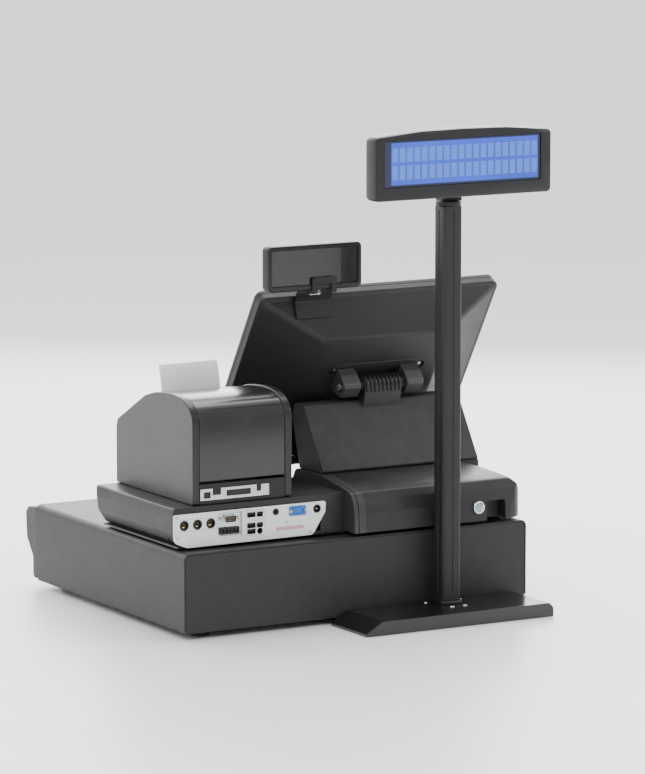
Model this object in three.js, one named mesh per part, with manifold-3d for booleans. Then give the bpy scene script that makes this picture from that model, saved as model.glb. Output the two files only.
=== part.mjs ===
// Point-of-sale cash register: a steel cash drawer that carries a terminal base,
// a tilting touch monitor, a receipt printer and a customer pole display.
// Millimetres, +Z up, +X to the operator's right, the operator stands on the -Y side.
import * as THREE from 'three';
import { mergeVertices } from 'three/addons/utils/BufferGeometryUtils.js';
import Module from 'manifold-3d';

const wasm = await Module();
wasm.setup();

// ---------------------------------------------------------------- driving dimensions
const GAP = 0.3;                                   // clearance between touching pieces
const DRW = { HW: 240, Y0: -196, Y1: 201, Z0: 8, Z1: 105, T: 2 };   // drawer case
const FOOT_R = 12;
const PAN = { HW: 223, Y0: -195.5, Y1: 112, Z0: 16, Z1: 88, T: 1.6 };
const TILL = { HW: 220.5, Y0: -192.5, Y1: 109.5, Z0: 18.2, Z1: 74, WALL: 3 };
const BASE_Z = 107.3;                              // underside of the terminal base
const PLAT = { X0: 8.5, X1: 243.5, Y0: -20, Y1: 179.5, Z1: 157 };    // platform under the printer
const HUMP = { X0: -240, X1: -8.3, Z1: 170 };      // hump under the stand
const IO_Y = 180;                                  // front plane of the connector panel
const COL = { X0: -218, X1: 4 };                   // stand column
const HINGE = { Y: 72, Z: 268, R: 14 };            // monitor tilt axis
const MON = { CX: -104, CY: 4.6, CZ: 267.4, LEAN: 32, W: 342, H: 280, RIM: 10, BACK: 40, FRONT: 17 };
const RDIS = { X0: -57, X1: 74, Y0: 92, Y1: 110, Z0: 397.5, Z1: 453 };  // small rear display
const PRN = { X0: 78, X1: 214, Y0: -24, Y1: 175, Z0: 157.4, Z1: 286, CHEEK: 9 };
const LID_AXIS = { Y: 170.5, Z: 187 };
const ROLL = { Y: 112, Z: 206, R: 38, BORE: 8, W: 79 };
const PLATEN = { Y: 62.5, Z: 261.5, R: 7 };
const POLE = { CX: -112, CY: 223, S: 26, Z0: 17.4, Z1: 505 };
const HEAD = { X0: -239, X1: 8, Y0: 226, Y1: 254, Z0: 518, Z1: 601 };
const HEAD_AXIS = { Y: 224, Z: 524 };

// ---------------------------------------------------------------- helpers
const rad = THREE.MathUtils.degToRad;
const group = new THREE.Group();
group.name = 'cash_register';

function solid(geo) {
  const g = geo.clone();
  for (const n of Object.keys(g.attributes)) if (n !== 'position') g.deleteAttribute(n);
  const m = mergeVertices(g, 1e-4);
  return new wasm.Manifold(new wasm.Mesh({
    numProp: 3,
    vertProperties: new Float32Array(m.attributes.position.array),
    triVerts: new Uint32Array(m.index.array),
  }));
}
function geom(man) {
  const mesh = man.getMesh();
  const g = new THREE.BufferGeometry();
  g.setAttribute('position', new THREE.BufferAttribute(new Float32Array(mesh.vertProperties), 3));
  g.setIndex(Array.from(mesh.triVerts));
  g.computeVertexNormals();
  return g;
}
const join = (a, ...b) => geom(b.reduce((m, x) => m.add(solid(x)), solid(a)));
const cut = (a, ...b) => geom(b.reduce((m, x) => m.subtract(solid(x)), solid(a)));
const keep = (a, b) => geom(solid(a).intersect(solid(b)));

function box(x0, x1, y0, y1, z0, z1) {
  return new THREE.BoxGeometry(x1 - x0, y1 - y0, z1 - z0).translate((x0 + x1) / 2, (y0 + y1) / 2, (z0 + z1) / 2);
}
// closed outline with optional corner radii: points are [a, b, r]
function outline(pts, seg = 4) {
  const out = [];
  const n = pts.length;
  for (let i = 0; i < n; i++) {
    const [a, b, r] = pts[i];
    if (!r) { out.push(new THREE.Vector2(a, b)); continue; }
    const p = new THREE.Vector2(a, b);
    const u = new THREE.Vector2(...pts[(i + n - 1) % n].slice(0, 2)).sub(p).normalize();
    const v = new THREE.Vector2(...pts[(i + 1) % n].slice(0, 2)).sub(p).normalize();
    const half = Math.acos(THREE.MathUtils.clamp(u.dot(v), -1, 1)) / 2;
    const d = r / Math.tan(half);
    const c = p.clone().add(u.clone().add(v).normalize().multiplyScalar(r / Math.sin(half)));
    const s = p.clone().addScaledVector(u, d).sub(c);
    const e = p.clone().addScaledVector(v, d).sub(c);
    let a0 = Math.atan2(s.y, s.x), a1 = Math.atan2(e.y, e.x);
    while (a1 - a0 > Math.PI) a1 -= 2 * Math.PI;
    while (a1 - a0 < -Math.PI) a1 += 2 * Math.PI;
    for (let k = 0; k <= seg; k++) {
      const t = a0 + (a1 - a0) * k / seg;
      out.push(new THREE.Vector2(c.x + r * Math.cos(t), c.y + r * Math.sin(t)));
    }
  }
  return out;
}
function prism(pts, depth, holes = [], seg = 4) {
  const s = new THREE.Shape(outline(pts, seg));
  for (const h of holes) s.holes.push(new THREE.Path(outline(h, seg)));
  return new THREE.ExtrudeGeometry(s, { depth, bevelEnabled: false, steps: 1 });
}
const V = (x, y, z) => new THREE.Vector3(x, y, z);
// outline in (Y,Z), swept along X
const alongX = (pts, x0, x1, holes, seg) => prism(pts, x1 - x0, holes, seg)
  .applyMatrix4(new THREE.Matrix4().makeBasis(V(0, 1, 0), V(0, 0, 1), V(1, 0, 0))).translate(x0, 0, 0);
// outline in (X,Z), swept along Y
const alongY = (pts, y0, y1, holes, seg) => prism(pts, y1 - y0, holes, seg)
  .applyMatrix4(new THREE.Matrix4().makeBasis(V(1, 0, 0), V(0, 0, 1), V(0, -1, 0))).translate(0, y1, 0);
// outline in (X,Y), swept along Z
const alongZ = (pts, z0, z1, holes, seg) => prism(pts, z1 - z0, holes, seg).translate(0, 0, z0);
const rect = (a0, a1, b0, b1, r = 0) => [[a0, b0, r], [a1, b0, r], [a1, b1, r], [a0, b1, r]];

function cyl(axis, r, a0, a1, p, q, seg = 20, r2 = r) {
  const g = new THREE.CylinderGeometry(r2, r, a1 - a0, seg);
  const m = (a0 + a1) / 2;
  if (axis === 'x') return g.rotateZ(-Math.PI / 2).translate(m, p, q);
  if (axis === 'y') return g.translate(p, m, q);
  return g.rotateX(Math.PI / 2).translate(p, q, m);
}
const mat = (color, roughness, metalness = 0, extra = {}) =>
  new THREE.MeshStandardMaterial({ color, roughness, metalness, ...extra });
const M = {
  steel: mat(0x3c3c3e, 0.55, 0.4), zinc: mat(0xb4b6b8, 0.35, 0.9), plastic: mat(0x3e3f41, 0.6),
  warm: mat(0x55514f, 0.5), dark: mat(0x19191a, 0.5), rubber: mat(0x141414, 0.85),
  white: mat(0xe9f0ec, 0.4), blue: mat(0x2a6fc0, 0.4), gloss: mat(0x26272a, 0.12),
  glass: mat(0x101318, 0.05), vfd: mat(0x3b63e6, 0.15), paper: mat(0xf4f3ee, 0.9),
  pcb: mat(0x1f5a3a, 0.6), till: mat(0x2b2b2d, 0.6), chrome: mat(0xc9ccd0, 0.12, 1),
};
function put(name, geo, material, parent = group) {
  const mesh = new THREE.Mesh(geo, material);
  mesh.name = name;
  parent.add(mesh);
  return mesh;
}

// ================================================================ cash drawer, fixed part
{
  const { HW, Y0, Y1, Z0, Z1, T } = DRW;
  // folded top-and-sides cover with rounded long edges
  put('drawer_cover', alongY([
    [-HW, Z0 + 3], [-HW, Z1, 8], [HW, Z1, 8], [HW, Z0 + 3], [HW - T, Z0 + 3], [HW - T, Z1 - T, 6],
    [-HW + T, Z1 - T, 6], [-HW + T, Z0 + 3]], Y0, Y1), M.steel);
  // floor with rear wall and low side flanges
  const w = HW - T - GAP;
  const floor = box(-w, w, Y0, Y1 - 0.3, Z0, Z0 + T);
  const rear = alongY([[-w, Z0], [w, Z0], [w, Z1 - T - GAP, 6], [-w, Z1 - T - GAP, 6]], Y1 - 2.3, Y1 - 0.3);
  put('drawer_floor', join(floor, rear,
    box(-w, -w + T, Y0, Y1 - 1, Z0 + 1, Z0 + 30), box(w - T, w, Y0, Y1 - 1, Z0 + 1, Z0 + 30)), M.steel);
  let i = 0;
  for (const x of [-205, 205]) for (const y of [-168, 172]) {
    put(`drawer_foot_${++i}`, cyl('z', FOOT_R - 2, 0, Z0 - GAP, x, y, 20, FOOT_R), M.rubber);
  }
  for (const [n, s] of [['left', -1], ['right', 1]]) {
    const a = s * (w - T - GAP), b = s * 226, f = s * (w - T - GAP - 1.6);
    put(`drawer_rail_${n}`, alongY([[a, 50], [b, 50], [b, 51.6], [f, 51.6], [f, 72.4], [b, 72.4], [b, 74], [a, 74]], Y0 + 4, 175), M.zinc);
  }
  // release solenoid, its hook in the released position, and the ejector spring
  put('drawer_latch_housing', cut(box(-30, 30, 146, Y1 - 2.6, Z0 + T + GAP, 62), box(-9, 9, 140, 170, 34, 70)), M.zinc);
  put('drawer_latch_hook', join(cyl('x', 5, -7, 7, 160, 54, 16),
    alongX([[156, 57.5], [114.5, 57.5], [114.5, 49.5], [117.5, 49.5], [120, 53], [158, 51]], -4, 4)), M.zinc);
  const turns = 7, pts = [];
  for (let k = 0; k <= turns * 10; k++) {
    const t = k / 10 * 2 * Math.PI;
    pts.push(V(70 + 8 * Math.cos(t), 114.5 + k / (turns * 10) * (Y1 - 2.6 - 116.5), 46 + 8 * Math.sin(t)));
  }
  const hex = new THREE.Shape(Array.from({ length: 5 }, (_, k) => new THREE.Vector2(1.1 * Math.cos(k * 2 * Math.PI / 5), 1.1 * Math.sin(k * 2 * Math.PI / 5))));
  put('drawer_ejector_spring', new THREE.ExtrudeGeometry(hex, { steps: turns * 10, bevelEnabled: false, extrudePath: new THREE.CatmullRomCurve3(pts) }), M.zinc);
}

// ================================================================ cash drawer, sliding part
{
  const { HW, Y0, Y1, Z0, Z1, T } = PAN;
  const pan = cut(box(-HW, HW, Y0, Y1, Z0, Z1), box(-HW + T, HW - T, Y0 + T, Y1 - T, Z0 + T, Z1 + 5));
  put('drawer_pan', join(pan,
    box(HW - 0.5, HW + 9.5, Y0 + 4, Y1 - 2, 58, 66), box(-HW - 9.5, -HW + 0.5, Y0 + 4, Y1 - 2, 58, 66),
    alongX([[Y1 - 0.5, 38], [Y1 + 10, 38], [Y1 + 10, 47], [Y1 + 7.5, 47], [Y1 + 7.5, 40.5], [Y1 - 0.5, 40.5]], -8, 8)), M.zinc);
  const front = alongX([[-196.4, 10.5], [-203, 10.5, 2], [-206, 15, 2], [-206, 38, 4], [-223, 60, 5], [-225, 92, 6],
    [-218, 99.5, 3], [-196.4, 101.5]], -239.5, 239.5);
  put('drawer_front', cut(front, cyl('y', 9.6, -230, -190, 0, 78, 24), box(-45, 45, -230, -210, 44, 52)), M.plastic);
  put('drawer_lock', cut(cyl('y', 9, -226.5, -197, 0, 78, 24), box(-1.1, 1.1, -230, -219, 73.5, 82.5)), M.chrome);
  const W = TILL.WALL;
  let till = solid(box(-TILL.HW, TILL.HW, TILL.Y0, TILL.Y1, TILL.Z0, TILL.Z1));
  const coinY = [TILL.Y0 + W, -98], billY = [-94.5, TILL.Y1 - W - 8];
  const cw = (2 * TILL.HW - 6 * W) / 5, bw = (2 * TILL.HW - 5 * W) / 4;
  for (let k = 0; k < 5; k++) {
    const x = -TILL.HW + W + k * (cw + W);
    till = till.subtract(solid(alongX([[coinY[0], 21, 26], [coinY[1], 21, 26], [coinY[1], 90], [coinY[0], 90]], x, x + cw, [], 5)));
  }
  for (let k = 0; k < 4; k++) {
    const x = -TILL.HW + W + k * (bw + W);
    till = till.subtract(solid(box(x, x + bw, billY[0], billY[1], 21, 90)));
  }
  put('till_insert', geom(till), M.till);
  for (let k = 0; k < 4; k++) {
    const x = -TILL.HW + W + k * (bw + W) + bw / 2;
    put(`bill_clip_${k + 1}`, join(cyl('x', 3, x - 22, x + 22, 92, 77.6, 14),
      alongX([[91, 79.5], [36, 41], [33, 35], [35.5, 33.8], [39, 39], [92.5, 76]], x - 7, x + 7),
      cyl('x', 4, x - 9, x + 9, 36, 35.5, 14)), M.zinc);
  }
}

// ================================================================ terminal base
const humpPts = (o = 0) => [[-20 + o, 109.9 - (o ? 5 : 0)], [-20 + o, 124, 4], [-6 + o, 130 - o, 8], [38 + o, 134 - o, 8], [60 + o / 2, 170 - o, 8],
  [121 - o / 3, 170 - o, 30], [176 - o, 162 - o, 10], [193 - o, 158 - o, 6], [200.5 - o, 149 - o], [204.5 - o, 133], [205.5 - o, 109.9 - (o ? 5 : 0)]];
{
  const feet = [[-215, 0], [-215, 160], [215, 0], [215, 160]].map(([x, y]) => cyl('z', 9, DRW.Z1 + GAP, BASE_Z + 1, x, y, 16));
  put('terminal_chassis', join(box(-236, 236, -16, 176, BASE_Z, 109.6), ...feet), M.steel);

  // platform: a shell whose outer end is drawn in towards its foot like a boat
  const plat = (o) => [[PLAT.X0 + o, 109.9 - (o ? 5 : 0)], [230 - o, 109.9 - (o ? 5 : 0)], [241 - o, 126, 12], [PLAT.X1 - o, 144], [PLAT.X1 - o, PLAT.Z1 - o, 4], [PLAT.X0 + o, PLAT.Z1 - o]];
  put('platform_cover', cut(alongY(plat(0), PLAT.Y0, PLAT.Y1), alongY(plat(3), PLAT.Y0 + 3, PLAT.Y1 - 3),
    box(41, 235.5, PLAT.Y1 - 5, PLAT.Y1 + 5, 113, 147.4), cyl('y', 7.5, PLAT.Y0 - 5, PLAT.Y0 + 5, 212, 134, 20)), M.plastic);
  put('power_button', cyl('y', 7, PLAT.Y0 - 2.6, PLAT.Y0 + 4, 212, 134, 20), M.gloss);

  const planR = alongZ([[HUMP.X0, -20.2, 14], [HUMP.X1, -20.2], [HUMP.X1, 205.7], [HUMP.X0, 205.7, 34]], 100, 190, [], 6);
  const sideR = (o) => alongY([[HUMP.X0 + o, 90], [HUMP.X1, 90], [HUMP.X1, HUMP.Z1 + 0.2 - o],
    ...[0, 15, 30, 45, 60, 75, 90].map((d) => [HUMP.X0 + 56 - (56 - o) * Math.sin(rad(d)), HUMP.Z1 + 0.2 - 53 + (53 - o) * Math.cos(rad(d))])], -30, 215);
  const hump = keep(keep(alongX(humpPts(), HUMP.X0, HUMP.X1), planR), sideR(0));
  const cavity = alongX(humpPts(3), HUMP.X0 + 4, HUMP.X1 - 3);
  const planIn = alongZ([[HUMP.X0 + 3, -17, 12], [HUMP.X1, -17], [HUMP.X1, 202.5], [HUMP.X0 + 3, 202.5, 32]], 90, 190, [], 6);
  put('hump_cover', cut(hump, keep(keep(cavity, planIn), sideR(3)), box(-207, -180, 190, 215, 100, 134)), M.plastic);
  // end cheek between hump and platform, a little proud of both
  const ck = humpPts().map(([y, z, r]) => [y < 0 ? y - 1 : (y > 190 ? y + 1 : y), z, r]);
  put('hump_end_cheek', alongX(ck, -8, 8.2), M.plastic);
  put('indicator_lens', cyl('y', 8, 205.2, 207.2, -168, 127, 20), M.chrome);

  // connector panel and the connectors that stand in it
  const io = [[53, 109.5, 6], [226, 108.5, 11], [243.5, 116, 8], [243.5, 149.5, 2], [35, 149.5, 3], [36, 136, 6]];
  const hole = (x0, x1, z0, z1) => rect(x0, x1, z0, z1);
  let panel = solid(alongY(io, IO_Y, IO_Y + 2));
  for (const h of [hole(184.6, 235.4, 128.5, 143), hole(143.5, 184, 119, 147.3), hole(120.5, 142.8, 116.5, 147.3), hole(62.5, 86.5, 135, 147)]) {
    panel = panel.subtract(solid(alongY(h, IO_Y - 3, IO_Y + 6)));
  }
  panel = panel.subtract(solid(cyl('y', 4.3, IO_Y - 3, IO_Y + 6, 104.5, 142, 16)));
  panel = panel.subtract(solid(cyl('y', 5.3, IO_Y - 3, IO_Y + 6, 47.5, 141, 16)));
  put('io_panel', geom(panel), M.white);
  const F = IO_Y + 2.6;
  put('port_din_group', cut(box(185.2, 235, 160, F, 129, 142.6),
    ...[229.5, 211.5, 193.5].map((x) => cyl('y', 4.6, F - 9, F + 3, x, 135.8, 16))), M.dark);
  put('port_serial_block', join(box(144, 183.5, 162, F - 0.6, 119.5, 147),
    alongY([[147.5, 142.5, 2], [149.5, 134.5, 2], [178, 134.5, 2], [180, 142.5, 2]], F - 1, F + 3.2, [], 2)), M.zinc);
  put('port_socket_stack', cut(box(121, 142.3, 162, F, 117, 147),
    ...[138, 124.9].flatMap((z) => [box(123, 130.6, F - 9, F + 3, z + 0.4, z + 6.4), box(132.6, 140.2, F - 9, F + 3, z + 0.4, z + 6.4)])), M.zinc);
  put('port_audio_jack', cut(cyl('y', 4, 166, F, 104.5, 142, 16), cyl('y', 1.8, F - 9, F + 3, 104.5, 142, 10)), M.dark);
  put('port_video', join(box(63, 86, 164, F - 0.6, 135.5, 146.5),
    alongY([[65.5, 145, 2], [67, 137, 2], [82, 137, 2], [83.5, 145, 2]], F - 1, F + 3.4, [], 2)), M.blue);
  put('port_power_inlet', cut(cyl('y', 5, 166, F, 47.5, 141, 16), cyl('y', 3.4, F - 9, F + 3, 47.5, 141, 12)), M.dark);
  put('mainboard', box(20, 228, -8, 159.5, 113.5, 115.2), M.pcb);
}

// ================================================================ stand
{
  const body = alongX([[62, 170.3], [124, 170.3, 3], [117, 180], [72, 250, 5], [50, 250, 5], [44, 232, 6], [58, 186, 10]], COL.X0, COL.X1);
  const tab = alongX([[56, 242], [77, 240], [HINGE.Y + 9, 252], [HINGE.Y + 11.5, HINGE.Z - 2, 5], [HINGE.Y + 10, HINGE.Z + 7, 6], [HINGE.Y + 1, HINGE.Z + 11.5, 6],
    [HINGE.Y - 9, HINGE.Z + 8, 6], [HINGE.Y - 11.5, HINGE.Z - 4, 5], [56, 252]], -130, -78);
  // the foot's outer end reaches down over the hump's rounded end
  const skirt = alongY([[COL.X0, 171], [-180, 171], ...[0, 8, 16, 23, 30, 37.4].map((d) => [HUMP.X0 + 56 - 56 * Math.sin(rad(d)), HUMP.Z1 - 52.5 + 53 * Math.cos(rad(d))])], 62.2, 123);
  put('stand_column', cut(join(body, tab, skirt), cyl('x', 5.4, -140, -70, HINGE.Y, HINGE.Z, 20)), M.plastic);
  put('monitor_hinge_shaft', cyl('x', 5, -163, -45, HINGE.Y, HINGE.Z, 20), M.zinc);
}

// ================================================================ monitor, built upright then leaned back
{
  const mon = new THREE.Group();
  mon.position.set(MON.CX, MON.CY, MON.CZ);
  mon.rotation.x = rad(90 - MON.LEAN);
  group.add(mon);
  const w = MON.W / 2, h = MON.H / 2;
  const hull = (pts) => {
    const [a, b] = pts, v = [];
    for (const [x0, x1, y0, y1, z] of [a, b]) v.push(x0, y0, z, x1, y0, z, x1, y1, z, x0, y1, z);
    const g = new THREE.BufferGeometry();
    g.setAttribute('position', new THREE.BufferAttribute(new Float32Array(v), 3));
    g.setIndex([0, 1, 2, 0, 2, 3, 4, 6, 5, 4, 7, 6, 0, 5, 1, 0, 4, 5, 1, 6, 2, 1, 5, 6, 2, 7, 3, 2, 6, 7, 3, 4, 0, 3, 7, 4]);
    return g;
  };
  // hull index order assumes the second ring lies below the first one
  const big = hull([[-w + 6, w - 6, -h + 6, h - 6, 0.5], [-88, 88, -h + 42, h - 41, -MON.BACK]]);
  const small = hull([[-w + 10, w - 10, -h + 10, h - 10, 1], [-84, 84, -h + 46, h - 45, -MON.BACK + 3]]);
  put('monitor_back_cover', cut(join(alongZ(rect(-w, w, -h, h, 10), 0, MON.RIM), big), small,
    alongZ(rect(-w + 3, w - 3, -h + 3, h - 3, 7), 0.8, 30)), M.plastic, mon);
  put('monitor_bezel', alongZ(rect(-w, w, -h, h, 10), MON.RIM + GAP, MON.FRONT, [rect(-154, 154, -116, 118)]), M.plastic, mon);
  put('lcd_panel', box(-163, 163, -126, 128, 1.6, MON.RIM - 0.2), M.dark, mon);
  put('touch_glass', box(-153.6, 153.6, -115.6, 117.6, MON.FRONT - 6, MON.FRONT - 2), M.glass, mon);
  // hinge knuckles, fixed to the flat of the back cover
  const ax = new THREE.Vector3(0, HINGE.Y - MON.CY, HINGE.Z - MON.CZ).applyAxisAngle(V(1, 0, 0), -rad(90 - MON.LEAN));
  for (const [n, x0, x1] of [['left', -161, -137], ['right', -71, -47]]) {
    const a = x0 - MON.CX, b = x1 - MON.CX;
    const k = alongX([[ax.y - 15, -MON.BACK - GAP], [ax.y + 16, -MON.BACK - GAP], [ax.y + 15, ax.z + 4, 4], [ax.y + 10, ax.z - 11.5, 7], [ax.y - 10, ax.z - 11.5, 7], [ax.y - 14, ax.z + 4, 4]], a, b);
    put(`hinge_knuckle_${n}`, cut(k, cyl('x', 5.4, a - 5, b + 5, ax.y, ax.z, 20)), M.zinc, mon);
  }
}
// a point of the monitor's own (up, front) plane in world (Y, Z)
const mw = (u, f) => {
  const c = Math.cos(rad(90 - MON.LEAN)), s = Math.sin(rad(90 - MON.LEAN));
  return [MON.CY + u * c - f * s, MON.CZ + u * s + f * c];
};

// ================================================================ small rear display on the monitor's upper edge
{
  const off = (p, a, b) => [p[0] + a, p[1] + b];
  const t = mw(132, -1), m = mw(118, -18);
  put('rear_display_bracket', alongX([off(m, 0.9, 0), off(m, 5, 1), off(t, 6.5, 0), [91.4, 392], [91.4, 404], [86, 404], [86, 393], off(t, 1.2, 2)], -28, 21), M.plastic);
  const { X0, X1, Y0, Y1, Z0, Z1 } = RDIS;
  put('rear_display_housing', cut(alongY(rect(X0, X1, Z0, Z1, 5), Y0, Y1), box(X0 + 5, X1 - 5, Y1 - 4, Y1 + 2, Z0 + 6, Z1 - 5)), M.dark);
  put('rear_display_window', box(X0 + 5.3, X1 - 5.3, Y1 - 3.7, Y1 - 1.2, Z0 + 6.3, Z1 - 5.3), M.glass);
}

// ================================================================ receipt printer
{
  const { X0, X1, Y0, Y1, Z0, CHEEK } = PRN;
  const cheek = [[Y0, Z0], [Y1, Z0], [Y1, 257], [172, 266], [164, 275], [152, 281.5], [137, 285], [115, PRN.Z1], [84, 283.5], [52, 275.5], [Y0 + 2, 236], [Y0, 232]];
  put('printer_cheek_left', alongX(cheek, X0, X0 + CHEEK), M.warm);
  put('printer_cheek_right', alongX(cheek, X1 - CHEEK, X1), M.warm);
  const a = X0 + CHEEK + GAP, b = X1 - CHEEK - GAP;
  // tray with a raised rear wall and a cradle for the roll
  put('printer_base', alongX([[Y0 + 2, Z0], [Y1 - 1, Z0], [Y1 - 1, 182], [Y1 - 6, 182], [156, 172], [130, 165.5], [94, 165.5], [72, 172], [60, 182], [56, 182], [56, 165.5], [Y0 + 2, 165.5]], a, b), M.dark);
  // front cover with the paper slot behind its upper edge
  const front = alongX([[Y0 + 2, 166], [Y0 + 2, 231.5, 3], [44, 269], [44, 263], [Y0 + 8, 228.5, 3], [Y0 + 8, 166]], a, b);
  const tilt = Math.atan2(269 - 231.5, 44 - (Y0 + 2));
  const onSlope = (g, y, x) => g.applyMatrix4(new THREE.Matrix4().makeRotationX(tilt)).translate(x, y, 231.5 + (y - (Y0 + 2)) * Math.tan(tilt));
  put('printer_front_cover', cut(front, onSlope(box(-12.4, 12.4, -7.4, 7.4, -14, 14), 22, 182), onSlope(cyl('z', 5.4, -14, 14, 0, 0, 16), 8, 104)), M.warm);
  put('lid_release_button', onSlope(box(-12, 12, -7, 7, -5.5, 3.5), 22, 182), M.gloss);
  put('feed_button', onSlope(cyl('z', 5, -5.5, 2.4, 0, 0, 16), 8, 104), M.gloss);
  put('print_head', alongX([[18, 214], [46.6, 214], [46.6, 258], [38, 255.5], [18, 244]], a + 3, b - 3), M.zinc);
  // lid: a curved shell that hinges at the foot of the rear wall
  const outer = [[55, 276], [84, 282.5], [115, 285], [137, 284], [151.5, 280.5], [163, 274.3], [170.8, 265.5], [173.8, 256.5], [173.8, 184.5]];
  const inner = [[169.8, 184.5], [169.8, 255.8], [167.2, 263.2], [160.6, 270.7], [150, 276.6], [136.4, 280], [115, 281], [84.6, 278.6], [55, 272]];
  put('printer_lid', alongX([...outer, ...inner], a + 0.2, b - 0.2), M.gloss);
  put('platen_roller', cyl('x', PLATEN.R, 98, 194, PLATEN.Y, PLATEN.Z, 20), M.rubber);
  const ring = new THREE.LatheGeometry([[ROLL.BORE, -ROLL.W / 2], [ROLL.R, -ROLL.W / 2], [ROLL.R, ROLL.W / 2], [ROLL.BORE, ROLL.W / 2], [ROLL.BORE, -ROLL.W / 2]].map((p) => new THREE.Vector2(...p)), 28);
  put('paper_roll', ring.rotateZ(Math.PI / 2).translate((X0 + X1) / 2, ROLL.Y, ROLL.Z), M.paper);
  put('receipt_strip', alongX([[49.4, 236], [49.4, 272], [46.8, 290], [43, 304], [40, 312], [40.8, 312.4], [43.9, 304.3], [47.8, 290.1], [50.3, 272], [50.3, 236]], 108, 189), M.paper);
}

// ================================================================ pole display
{
  put('pole_base', alongY([[-225, 0], [40, 0], [40, 4], [16, 17], [-220, 17, 2], [-225, 12]], 203.5, 289), M.gloss);
  const s = POLE.S / 2;
  const sq = (k, r) => rect(POLE.CX - k, POLE.CX + k, POLE.CY - k, POLE.CY + k, r);
  put('pole_tube', alongZ(sq(s, 6), POLE.Z0, POLE.Z1, [sq(s - 2.5, 4)], 3), M.plastic);
  put('pole_swivel_neck', join(cyl('z', 15.5, POLE.Z1 + GAP, 512, POLE.CX, POLE.CY, 24),
    alongX([[HEAD_AXIS.Y - 7, 511], [HEAD_AXIS.Y + 7, 511], [HEAD_AXIS.Y + 7, HEAD_AXIS.Z + 7, 5], [HEAD_AXIS.Y - 7, HEAD_AXIS.Z + 7, 5]], POLE.CX - 14, POLE.CX + 14)), M.dark);
  const { X0, X1, Y0, Y1, Z0, Z1 } = HEAD, cx = (X0 + X1) / 2;
  const face = [[X0 + 2, Z0, 4], [X1 - 2, Z0, 4], [X1, Z0 + 14], [X1, Z1 - 8, 5], [cx + 70, Z1 - 1.5], [cx, Z1], [cx - 70, Z1 - 1.5], [X0, Z1 - 8, 5], [X0, Z0 + 14]];
  put('head_housing', cut(alongY(face, Y0, Y1, [], 3), box(X0 + 15, X1 - 13, Y0 + 4, Y1 + 5, Z0 + 16, Z1 - 11),
    box(POLE.CX - 17, POLE.CX + 17, Y0 - 5, HEAD_AXIS.Y + 12, Z0 - 5, Z0 + 14.5)), M.dark);
  put('head_window', box(X0 + 15.3, X1 - 13.3, Y1 - 5, Y1 - 1.5, Z0 + 16.3, Z1 - 11.3), M.vfd);
}

// stand the assembly on its base, centred
group.updateMatrixWorld(true);
const bb = new THREE.Box3().setFromObject(group, true);
group.position.set(-(bb.min.x + bb.max.x) / 2, -(bb.min.y + bb.max.y) / 2, -bb.min.z);
group.updateMatrixWorld(true);

export default group;
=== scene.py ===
import bpy, bmesh, math, random
from mathutils import Vector, Matrix


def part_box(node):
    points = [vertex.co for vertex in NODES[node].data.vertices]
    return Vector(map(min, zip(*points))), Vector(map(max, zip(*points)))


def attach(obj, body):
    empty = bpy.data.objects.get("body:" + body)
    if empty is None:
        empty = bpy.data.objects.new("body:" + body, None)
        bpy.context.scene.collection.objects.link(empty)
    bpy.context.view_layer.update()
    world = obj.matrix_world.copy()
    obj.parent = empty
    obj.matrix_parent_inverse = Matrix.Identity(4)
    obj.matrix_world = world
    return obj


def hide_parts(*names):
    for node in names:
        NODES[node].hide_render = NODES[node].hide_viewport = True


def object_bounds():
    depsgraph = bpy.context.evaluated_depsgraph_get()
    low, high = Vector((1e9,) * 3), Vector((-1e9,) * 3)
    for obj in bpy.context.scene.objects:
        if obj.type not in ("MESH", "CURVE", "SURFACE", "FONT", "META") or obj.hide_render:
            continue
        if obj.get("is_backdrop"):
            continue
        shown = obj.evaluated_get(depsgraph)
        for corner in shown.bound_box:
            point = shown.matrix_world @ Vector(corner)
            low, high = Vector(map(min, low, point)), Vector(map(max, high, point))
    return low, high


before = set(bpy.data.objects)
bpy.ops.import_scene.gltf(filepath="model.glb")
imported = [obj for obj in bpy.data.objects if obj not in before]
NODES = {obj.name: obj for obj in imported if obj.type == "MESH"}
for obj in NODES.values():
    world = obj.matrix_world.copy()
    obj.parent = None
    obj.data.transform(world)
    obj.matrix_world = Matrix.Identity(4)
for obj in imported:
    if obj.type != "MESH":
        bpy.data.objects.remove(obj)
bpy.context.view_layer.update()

_lo, _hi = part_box("drawer_cover")
OX, OY = (_lo.x + _hi.x) / 2, _lo.y + 0.196      # drawer-centred design frame -> row frame
COL = bpy.context.scene.collection
rnd = random.Random(7)

# ------------------------------------------------------------------ mesh helpers (design mm in, row metres out)
def P(x, y, z):
    return Vector((x / 1000 + OX, y / 1000 + OY, z / 1000))

def outline(pts, seg=8):
    out, n = [], len(pts)
    for i, p in enumerate(pts):
        a, b = p[0], p[1]
        r = p[2] if len(p) > 2 else 0
        if not r:
            out.append((a, b)); continue
        c0 = Vector((a, b)); u = (Vector(pts[i - 1][:2]) - c0).normalized(); v = (Vector(pts[(i + 1) % n][:2]) - c0).normalized()
        half = math.acos(max(-1, min(1, u.dot(v)))) / 2
        d = r / math.tan(half)
        c = c0 + (u + v).normalized() * (r / math.sin(half))
        s, e = c0 + u * d - c, c0 + v * d - c
        a0, a1 = math.atan2(s.y, s.x), math.atan2(e.y, e.x)
        while a1 - a0 > math.pi: a1 -= 2 * math.pi
        while a1 - a0 < -math.pi: a1 += 2 * math.pi
        for k in range(seg + 1):
            t = a0 + (a1 - a0) * k / seg
            out.append((c.x + r * math.cos(t), c.y + r * math.sin(t)))
    return out

def rect(a0, a1, b0, b1, r=0):
    return [(a0, b0, r), (a1, b0, r), (a1, b1, r), (a0, b1, r)]

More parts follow.
